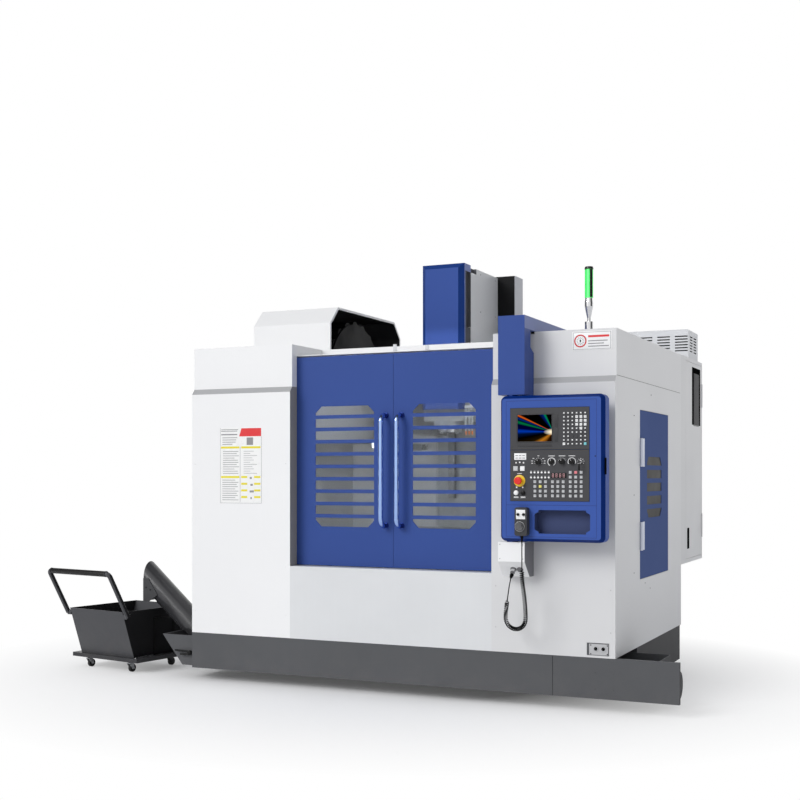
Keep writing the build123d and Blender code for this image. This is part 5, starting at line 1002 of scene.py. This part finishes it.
def add_buttons():
    """Square and round push buttons, the stop's collar ring and the small window."""
    face, stop = UNIT_FACE, (845, UNIT_FACE, 1205)
    piece("small_window", "key_white", "panel",
          block((816, 881), (face - 1.0, face), (1313, 1347), 0.4))
    words = [((x, x + 14), (z, z + 4)) for x in (822, 841, 860) for z in (1320, 1333)]
    piece("small_window_text", "print_grey", "panel", *flat((face - 1.3, face - 1.0), words))
    square = cap(25.0, 6.4, 0.86)
    set_on("square_button_grey", "key_light", "panel", square, on(face, (824, 1268)))
    set_on("square_button_white", "key_white", "panel", square, on(face, (861, 1268)))
    set_on("small_lamps", "print_white", "panel", disc(4.2, 1.4), on(
        face, (826, 1298), (846, 1300), (866, 1298), (829, 1171), (862, 1171)))
    piece("stop_ring", "stop_yellow", "panel", turned(
        stop, FORWARDS, ((30.5, 0), (30.5, 2), (29.6, 2.65), (19, 2.65)), 40))
    marks_round("stop_arrows", "print_grey", "panel", bar(6.0, 1.6), 6, 25.0, 10, 300,
                (845, face - 2.65, 1205))
    for name, x, finish in (("start", 826.5, "key_white"), ("hold", 863.5, "knob_black")):
        piece(f"{name}_button", finish, "panel", turned(
            (x, face, 1143), FORWARDS,
            ((12.5, 0), (12.5, 4), (10.9, 4.6), (10.9, 9.5), (9.6, 10.4))))
    set_on("button_captions", "print_white", "panel", bar(26.0, 2.4), on(
        face, (826.5, 1122), (863.5, 1122), (826.5, 1118), (863.5, 1118), (845, 1242)))


def add_panel_details():
    """Grooves in the blue front, the side slot, the screws and the gap round the units."""
    face, rear, wide = PANEL_FACE, -84.0, 1.6
    x0, x1, z0, z1 = 770.0, 1252.0, 916.0, 1618.0
    grooves = border((x0, x1), (z0, z1), wide) + [((x0, 925), (1079, 1079 + wide)),
                                                  ((925, x1), (1079, 1079 + wide))]
    piece("panel_grooves", "groove_blue", "panel", *flat((face - 0.5, face + 0.5), grooves))
    piece("panel_side_slot", "recess_black", "panel",
          block((1288, 1290.8), (-162, -134), (1238, 1322), 0.4))
    screws("panel_front_screw", "knob_black", "panel", on(face, (1245, 1330)))
    screws("panel_rear_screws", "galvanised", "panel",
           grid((764, 1011, 1258), rear, (925, 1268, 1612)), REARWARDS)
    piece("panel_rear_seam", "seam_dark", "panel",
          block((760, 1262), (rear, rear + 1.2), (1262, 1264)))
    gap = (((792.6, 794), (1101, 1579)), ((1214, 1215.4), (1101, 1579)),
           ((792.6, 1215.4), (1099.6, 1101)), ((792.6, 1215.4), (1579, 1580.4)))
    piece("unit_gasket", "knob_black", "panel", *flat((face - 1, face + 1), gap))


def add_pendant_details():
    """The pendant's label with two selectors, its dial's ring and grip, and side button."""
    face, selectors = PENDANT_FACE, (851.1, 881.25)
    piece("pendant_label", "key_white", "panel",
          block((840, 889), (face - 0.6, face), (1008, 1056), 0.3))
    piece("pendant_selectors", "knob_black", "panel", *turned_at(
        grid(selectors, face, (1032,)), FORWARDS, ((7.2, 0), (7.2, 7), (6.4, 8.8), (2, 9)), 20))
    for n, x in enumerate(selectors):
        marks_round(f"pendant_selector_dial_{n + 1}", "print_grey", "panel", bar(2.4, 1.2), 5,
                    10.5, 0, 180, (x, face - 0.6, 1032))
    piece("pendant_dial_ring", "print_grey", "panel", turned(
        (859.1, face, 970), FORWARDS, ((27, 0), (27, 0.4), (22.6, 0.5)), 40))
    marks_round("pendant_dial_scale", "print_white", "panel", bar(2.4, 0.7, 0.2), 40, 25.0, 0,
                350, (859.1, face - 0.5, 970))
    piece("pendant_dial_knurl", "knob_black", "pendant_dial", *turned_at(
        [(859.14 + x, face - 1.5, 970 + z) for x, z in ring(30, 22)], FORWARDS,
        ((1.3, 0), (1.3, 8), (0.6, 8.6)), 6))
    piece("pendant_side_button", "knob_black", "panel",
          block((829, 831.6), (-214, -194), (985, 1020), 0.8))


# Socket box, outlets, plates

SLANT_DOWN = Vector((0, 81, -83)).normalized()
SLANT_OUT = Vector((0, -83, -81)).normalized()


def add_socket_details():
    """The flanges of the pendant's socket and of a spare one on the slanted face."""
    seat, spare = (Vector((x, -149, 783)) + SLANT_DOWN * 58 for x in (786, 822))
    piece("pendant_sockets", "plug_metal", "machine", *(
        turned(place, SLANT_OUT, ((17, 0), (17, 3), (14.5, 3.6), (14.5, 8), (inner, 8.2)), 28)
        for place, inner in ((seat, 12.6), (spare, 0.5))))
    piece("plug_coupling_ring", "lamp_plastic", "machine", turned(seat + SLANT_OUT * 9, SLANT_OUT, (
        (13.2, 0), (13.2, 4), (12.6, 4.6), (12.6, 10), (13.2, 10.6), (13.2, 14), (12.1, 14.4)), 28))
    piece("plug_boot", "cord_rubber", "machine", turned(seat + SLANT_OUT * 38, SLANT_OUT, (
        (10.4, 0), (10.8, 3), (9.4, 8), (9.6, 10), (7.8, 14), (8.0, 16), (5.6, 21), (3.8, 26)), 20))
    screws("socket_box_screws", "galvanised", "machine", grid((724, 850), -149, (798, 872)))


def add_outlets():
    """The low plate with two round sockets on the right front."""
    face, centres = -2.4, grid((1198, 1238), -2.4, (335,))
    piece("outlet_plate", "outlet_grey", "machine", block((1150, 1267), (face, 0), (300, 365), 0.8))
    piece("outlet_plate_shade", "dark_paint", "machine", *flat((-3.0, face), (
        ((1150.2, 1162), (300.5, 364.5)), ((1162, 1267), (360, 364.5)),
        ((1162, 1267), (300.5, 303)), ((1263.5, 1266.8), (303, 360)))))
    piece("outlet_rings", "outlet_grey", "machine", *turned_at(
        centres, FORWARDS, ((15, 0), (15, 1.6), (13.5, 3), (9.5, 3.2)), 28))
    piece("outlet_wells", "recess_black", "machine", *turned_at(
        centres, FORWARDS, ((9.4, 0), (9.4, 4.4), (8.6, 4.8), (8.0, 3.6)), 28))
    piece("outlet_pins", "plug_metal", "machine", *turned_at(
        [(x + across, -5.6, z + up) for x, _, z in centres for across, up in ring(3, 4.6, pi / 2)],
        FORWARDS, ((1.0, 0), (1.0, 1.4), (0.6, 2)), 8))
    screws("outlet_screws", "knob_black", "machine", grid((1171, 1259), face, (308, 353)))


def small_print(x, z_top, rows, pitch, lengths, height):
    """Rows of short printed bars that stand for lines of small print."""
    return [((x, x + lengths[n % len(lengths)]), (z_top - n * pitch - height, z_top - n * pitch))
            for n in range(rows)]


def add_work_sheet():
    """A plain work sheet on the left cabinet."""
    x0, x1, z0, z1 = -1098.0, -813.0, 1068.0, 1514.0
    split, right, tables = -965.0, -953.0, (1217.0, 1177.0, 1138.0, 1099.0)
    piece("work_sheet", "sheet_white", "machine", block((x0, x1), (-0.8, 0), (z0, z1)))
    piece("work_sheet_band", "print_red", "machine", drawn(
        on(-0.8, (-967, 1463), (x1 - 3, 1463), (x1 - 3, 1511), (-951, 1511)), (0, -0.4, 0)))
    rows = [((x0 + 4, split), (1392, 1404)), ((right, x1 - 7), (1392, 1404)),
            ((x0 + 4, split), (1217, 1229))]
    rows += [(x, (z, z + 12)) for z in tables for x in ((right, right + 42), (-864, x1 - 8))]
    lines = [((x0, x0 + 1.6), (z0, z1)), ((x1 - 1.6, x1), (z0, z1 - 52)),
             ((x0, x1), (z0, z0 + 1.6)), ((split + 4, split + 6), (z0 + 6, 1404)),
             ((-915, -871), (1412, 1456))]
    for text in ((x0 + 6, 1506, 2, 9, (118, 112), 4.0), (x0 + 6, 1478, 1, 9, (112,), 7.0),
                 (x0 + 14, 1458, 4, 13, (104, 96, 92, 70), 4.0),
                 (x0 + 18, 1376, 11, 13, (108, 96, 112, 80, 104), 3.2),
                 (x0 + 14, 1206, 10, 13, (90, 112, 100, 108), 3.2),
                 (-936, 1376, 11, 13, (70, 46, 92, 60), 2.2)):
        lines += small_print(*text)
    lines += [((-894 + 5 * (n % 2), -880 + 7 * (n % 3)), (z - 6, z + 6))
              for n, z in enumerate(tables)]
    for colour, boxes in (("yellow", rows), ("grey", lines)):
        piece(f"work_sheet_{colour}", f"print_{colour}", "machine", *flat((-1.1, -0.8), boxes))


def add_fascia_plate():
    """A plain plate on the right fascia: a ring, a bar and lines."""
    front = FASCIA_Y - 1.6
    piece("fascia_plate", "key_white", "machine",
          block((1064, 1276), (front, FASCIA_Y), (1886, 1984), 0.7))
    lines = border((1069, 1271), (1890, 1980), 2) + small_print(1150, 1936, 3, 14,
                                                                (104, 84, 110), 5)

    def printed(name, finish, boxes):
        piece(f"fascia_plate_{name}", finish, "machine", *flat((front - 0.3, front), boxes))

    printed("lines", "print_grey", lines)
    printed("band", "print_red", [((1150, 1262), (1952, 1963))])
    for name, finish, mark, count, radius, sweep in (
            ("ring", "print_red", bar(7.0, 9.0), 26, 30.0, 346),
            ("scale", "print_grey", bar(9.0, 2.6), 12, 17.0, 330)):
        marks_round(f"fascia_plate_{name}", finish, "machine", mark, count, radius, 0, sweep,
                    (1108, front, 1935))
    printed("centre", "knob_black", [((1104.5, 1111.5), (1928, 1942))])


# Enclosure, head and side

SKIRT_SEAM = 964.0
HEAD_SIDE = 140.0
LAMP_X, LAMP_Y = 1118, 150


def add_enclosure_details():
    """Seams, small brackets on the ledge, screws and rain strips of the sheet panels."""
    piece("skirt_seam", "knob_black", "machine",
          block((SKIRT_SEAM - 1.2, SKIRT_SEAM + 1.2), (-0.5, 0.5), (75, 286)))
    screws("skirt_screws", "dark_paint", "machine", grid((1193, 1290), 0, (209, 126)))
    piece("ledge_brackets", "grey_paint", "machine", *(
        block(x, y, z, 0.8) for x, top in (((-1, 21), 1973), ((197, 219), 1960))
        for y, z in (((84, 87), (1934, top)), ((84, 130), (1934, 1937)))))
    piece("roof_seam", "seam_dark", "machine",
          block((SIDE_X - 0.5, SIDE_X + 0.5), (FASCIA_Y + 2, 1581), (1751, 1753.4)))
    screws("panel_screws_left", "white_paint", "machine", grid((-1276, -650), 0, (420, 700, 1300)))
    screws("panel_screws_right", "outlet_grey", "machine", grid((646, 1276), 0, (420, 640)))
    side = ((393, 1558), (393, 1126), (393, 702), (646, 628), (767, 589), (791, 1693))
    screws("side_screws", "seam_dark", "machine", [(SIDE_X, y, z) for y, z in side], SIDEWAYS)
    # Painted shade: a black block in the gap between the arm and the fascia's top
    piece("arm_gap", "knob_black", "machine", block((839, 856), (19, 40), (1984, 2001)))
    piece("rear_rain_strips", "white_paint", "machine", *flat(
        (1611, 1617), [(x, (1730, 1740)) for x in ((-1290, -640), (640, 1290))], 1.0))


def add_side_door_details():
    """Pale sleeves over the service door's hinges and leaves."""
    piece("side_hinge_sleeves", "hinge_pale", "side_door", *(
        part for z in (816, 1281) for part in (
            block((1303, 1304.6), (545, 621), (z, z + 158), 0.5),
            rod((1307, 536, z), UPWARDS, 7.8, 158, 20))))


def add_cabinet_details():
    """A black back and surround in the electrical cabinet's vent as painted shade, and the latch in
    its recess.
    """
    x = (SIDE_X - 6, SIDE_X + 0.4)
    piece("vent_surround", "recess_black", "cabinet_door",
          block((SIDE_X - 8.6, SIDE_X - 6.0), (1958, 2232), (1570, 1946)),
          block(x, (1957, 2022), (1568, 1948)), block(x, (2194, 2233), (1568, 1948)),
          block(x, (2022, 2194), (1912, 1948)))
    piece("cabinet_latch", "recess_black", "cabinet_door",
          block((SIDE_X - 1, SIDE_X + 0.8), (1801, 1865), (756, 890), 0.2),
          block((SIDE_X + 0.8, SIDE_X + 2.4), (1824, 1842), (780, 866), 0.2))


def add_head_details():
    """Dark sheets on the neck of the head's cover as painted shade, and its screws."""
    shade_sheets = []
    for side in (-1, 1):
        for inner, end, z in ((HEAD_SIDE - 24, 925, (2157, 2498)),
                              (HEAD_SIDE - 24, 1021, (2498, 2532)),
                              (HEAD_SIDE - 3, 925, (1700, 2151))):
            shade_sheets.append(block(sorted((side * inner, side * (inner + 1))), (835, end), z))
        step = sorted((side * (HEAD_SIDE - 23), side * (HEAD_SIDE - 0.2)))
        shade_sheets += [block(step, (y - 0.2, y + 0.8), z)
                   for y, z in ((925, (2157, 2498)), (1021, (2498, 2531)))]
    piece("head_neck_liners", "neck_shade_dark", "head", *shade_sheets)
    screws("head_cover_screws", "seam_dark", "head",
           [(HEAD_SIDE, y, z) for y in (1094, 1360) for z in (2020, 2270, 2506)], SIDEWAYS)


def add_lamp_top():
    """The lamp's dark cap, and a dark strip along its lens that is a painted reflection."""
    piece("lamp_cap", "lamp_black", "machine", turned((LAMP_X, LAMP_Y, 2328), UPWARDS, (
        (23.0, 0), (23.4, 1), (23.4, 6), (21.6, 11), (20.5, 14), (8, 15))))
    angles = [radians(-63 + 5.2 * n) for n in range(9)]
    edge = [(20.8, angle) for angle in angles] + [(23.3, angle) for angle in reversed(angles)]
    # Painted reflection: a dark strip on the lens
    piece("lamp_rail", "lamp_black", "machine", drawn(
        [(LAMP_X + r * cos(angle), LAMP_Y + r * sin(angle), 2178) for r, angle in edge],
        (0, 0, 149)))


# Inside the cutting area

def add_work_lights():
    """Tube lamps of the cutting area: one over the doors and one at each side of the doorway."""
    tubes, ends = [rod((-330, 300, 1880), SIDEWAYS, 12, 660)], []
    for x in (-352, 328):
        ends += [rod((x, 300, 1880), SIDEWAYS, 20, 24),
                 block((x + 6, x + 18), (296, 304), (1880, 1925))]
    for x, radius in ((-895, 26), (895, 15)):
        tubes.append(rod((x, 190, 1000), UPWARDS, radius, 600))
        for z in (978, 1598):
            ends += [rod((x, 190, z), UPWARDS, 20, 24),
                     block((x - 4, x + 4), (150, 190), (z + 6, z + 18))]
    piece("work_light_tubes", "work_light", "machine", *tubes)
    piece("work_light_ends", "dark_paint", "machine", *ends)


def add_coolant_nozzles():
    """Three coolant pipes with orange tips beside the spindle, and their clamps."""
    pipes, clamp = (154.0, 174.0, 194.0), ((146, 202), (806, 820))
    piece("coolant_pipes", "galvanised", "head",
          *(rod((x, 812, 1655), DOWNWARDS, 4.6, 150, 12) for x in pipes),
          block(*clamp, (1590, 1602), 1.0), block(*clamp, (1645, 1660), 1.0))
    piece("coolant_nozzles", "nozzle_orange", "head", *turned_at(
        [(x, 812, 1505) for x in pipes], DOWNWARDS, ((5.6, 0), (5.6, 13), (3.0, 23)), 12))


# Conveyor and cart

CART_PLACE = Matrix.Translation((-1975, 280, 0)) @ Matrix.Rotation(radians(-10), 4, "Z")
CART_AHEAD = CART_PLACE.to_3x3() @ Vector(SIDEWAYS)
CART_END = 241.0
HANDLE_Y, HANDLE_Z = -421.0, 633.0


def on_cart(x, y, z):
    """From the cart's own frame to the machine's."""
    return CART_PLACE @ Vector((x, y, z))


def add_cart_details():
    """Sleeve on the handle, its collars, the bars that hold the bin, and bolts on the tray."""
    piece("cart_grip", "wheel_rubber", "cart", turned(
        on_cart(-246, HANDLE_Y, HANDLE_Z), CART_AHEAD,
        ((17.2, 0), (17.6, 2), (17.6, 490), (17.2, 492)), 24))
    piece("cart_grip_collars", "black_paint", "cart", *(
        rod(on_cart(x, HANDLE_Y, HANDLE_Z), CART_AHEAD, 18.6, 7) for x in (-252, 246)))
    piece("cart_bin_frame", "knob_black", "cart", placed(CART_PLACE, *(
        block((CART_END, CART_END + 5), y, z) for y, z in (
            ((-20, -4), (96, 330)), ((-4, 150), (318, 330)), ((150, 166), (96, 330))))))
    piece("cart_lock_bar", "bright_steel", "cart", placed(
        CART_PLACE, block((CART_END + 2, CART_END + 10), (-160, -30), (93.5, 98))))
    set_on("cart_tray_bolts", "bright_steel", "cart", SCREW,
           [on_cart(CART_END + 18, y, 93) for y in (-190, 190)], UPWARDS)


def add_trough_details():
    """The drain lever on the raked end of the chip trough, and bolts of the tube's joint."""
    piece("trough_drain_lever", "knob_black", "machine",
          turned((-1322, 14, 160), FORWARDS, ((15, 0), (15, 10), (12, 16), (5, 17)), 24),
          turned((-1330, 6, 168), (-1, 0, 0.03), ((5.5, 0), (5.5, 96), (3, 99)), 12),
          turned((-1330, 6, 150), (-1, 0, -0.03), ((5.5, 0), (5.5, 60), (3, 62)), 12))
    set_on("chute_bolts", "black_paint", "machine", SCREW,
           on(217.8, (-1798, 520), (-1768, 506)))


# Light and floor

def add_light():
    """Soft room light and a broad lamp; shiny parts mirror bright walls and dark ones."""
    scene = bpy.context.scene
    scene.view_settings.view_transform = "Standard"
    scene.world = bpy.data.worlds.new("room")
    scene.world.use_nodes = True
    g = Graph(scene.world.node_tree)
    g.tree.nodes.clear()
    path = g.add("ShaderNodeLightPath").outputs
    seen = g.plus(g.plus(path["Is Camera Ray"], path["Is Glossy Ray"], True),
                  path["Is Transmission Ray"], True)
    around = g.parts(g.add("ShaderNodeTexCoord").outputs["Generated"])["Y"]
    dark_walls = g.spread(g.math("ABSOLUTE", around), 0.38, 0.62, 0.92, 0.0)
    mirrored = g.minus(1.0, g.times(dark_walls, path["Is Glossy Ray"]))
    soft = g.out("ShaderNodeBackground", {"Color": rgb(0.955, 0.97, 1.0), "Strength": 0.54})
    plain = g.out("ShaderNodeBackground", {"Color": rgb(1, 1, 1), "Strength": mirrored})
    g.add("ShaderNodeOutputWorld", {0: g.out("ShaderNodeMixShader", {0: seen, 1: soft, 2: plain})})
    lamp = bpy.data.lights.new("broad_lamp", "SUN")
    lamp.energy, lamp.angle = 1.7, radians(30)
    aim = Vector((0.42, 0.78, -0.52)).to_track_quat("-Z", "Y")
    link("broad_lamp", lamp).rotation_euler = aim.to_euler()


FLOOR_HALF = 60.0


def add_floor():
    """A wide pale floor that turns white with distance and keeps the machine's shadow."""
    material = bpy.data.materials.new("studio_floor")
    material.use_nodes = True
    g = Graph(material.node_tree)
    g.tree.nodes.clear()
    place = g.add("ShaderNodeTexCoord").outputs["Object"]
    from_middle = g.vector("SUBTRACT", place, spot(-374, 836, 0))
    far = g.vector("LENGTH", g.vector("MULTIPLY", from_middle, (0.913, 1.0, 1.0)))
    seen = g.add("ShaderNodeLightPath").outputs["Is Camera Ray"]
    share = g.times(g.spread(far, 1.05, 2.72, 0.08, 1.0), seen)
    matt = g.out("ShaderNodeBsdfDiffuse", {"Color": rgb(0.95, 0.95, 0.955)})
    lift = g.out("ShaderNodeEmission", {"Color": rgb(1, 1, 1), "Strength": 1.0})
    g.add("ShaderNodeOutputMaterial", {
        "Surface": g.out("ShaderNodeMixShader", {0: share, 1: matt, 2: lift})})
    mesh = bpy.data.meshes.new("floor")
    mesh.from_pydata([(x * FLOOR_HALF, y * FLOOR_HALF, 0) for x, y in
                      ((-1, -1), (1, -1), (1, 1), (-1, 1))], [], [(0, 1, 2, 3)])
    mesh.materials.append(material)
    link("floor", mesh)


for step in (add_camera, finish_nodes, add_cord, add_screen_unit, add_knobs, add_key_switch,
             add_pads, add_buttons, add_panel_details, add_pendant_details, add_socket_details,
             add_outlets, add_work_sheet, add_fascia_plate, add_lamp_top, add_enclosure_details,
             add_side_door_details, add_cabinet_details, add_head_details, add_work_lights,
             add_coolant_nozzles, add_cart_details, add_trough_details, add_light, add_floor):
    step()
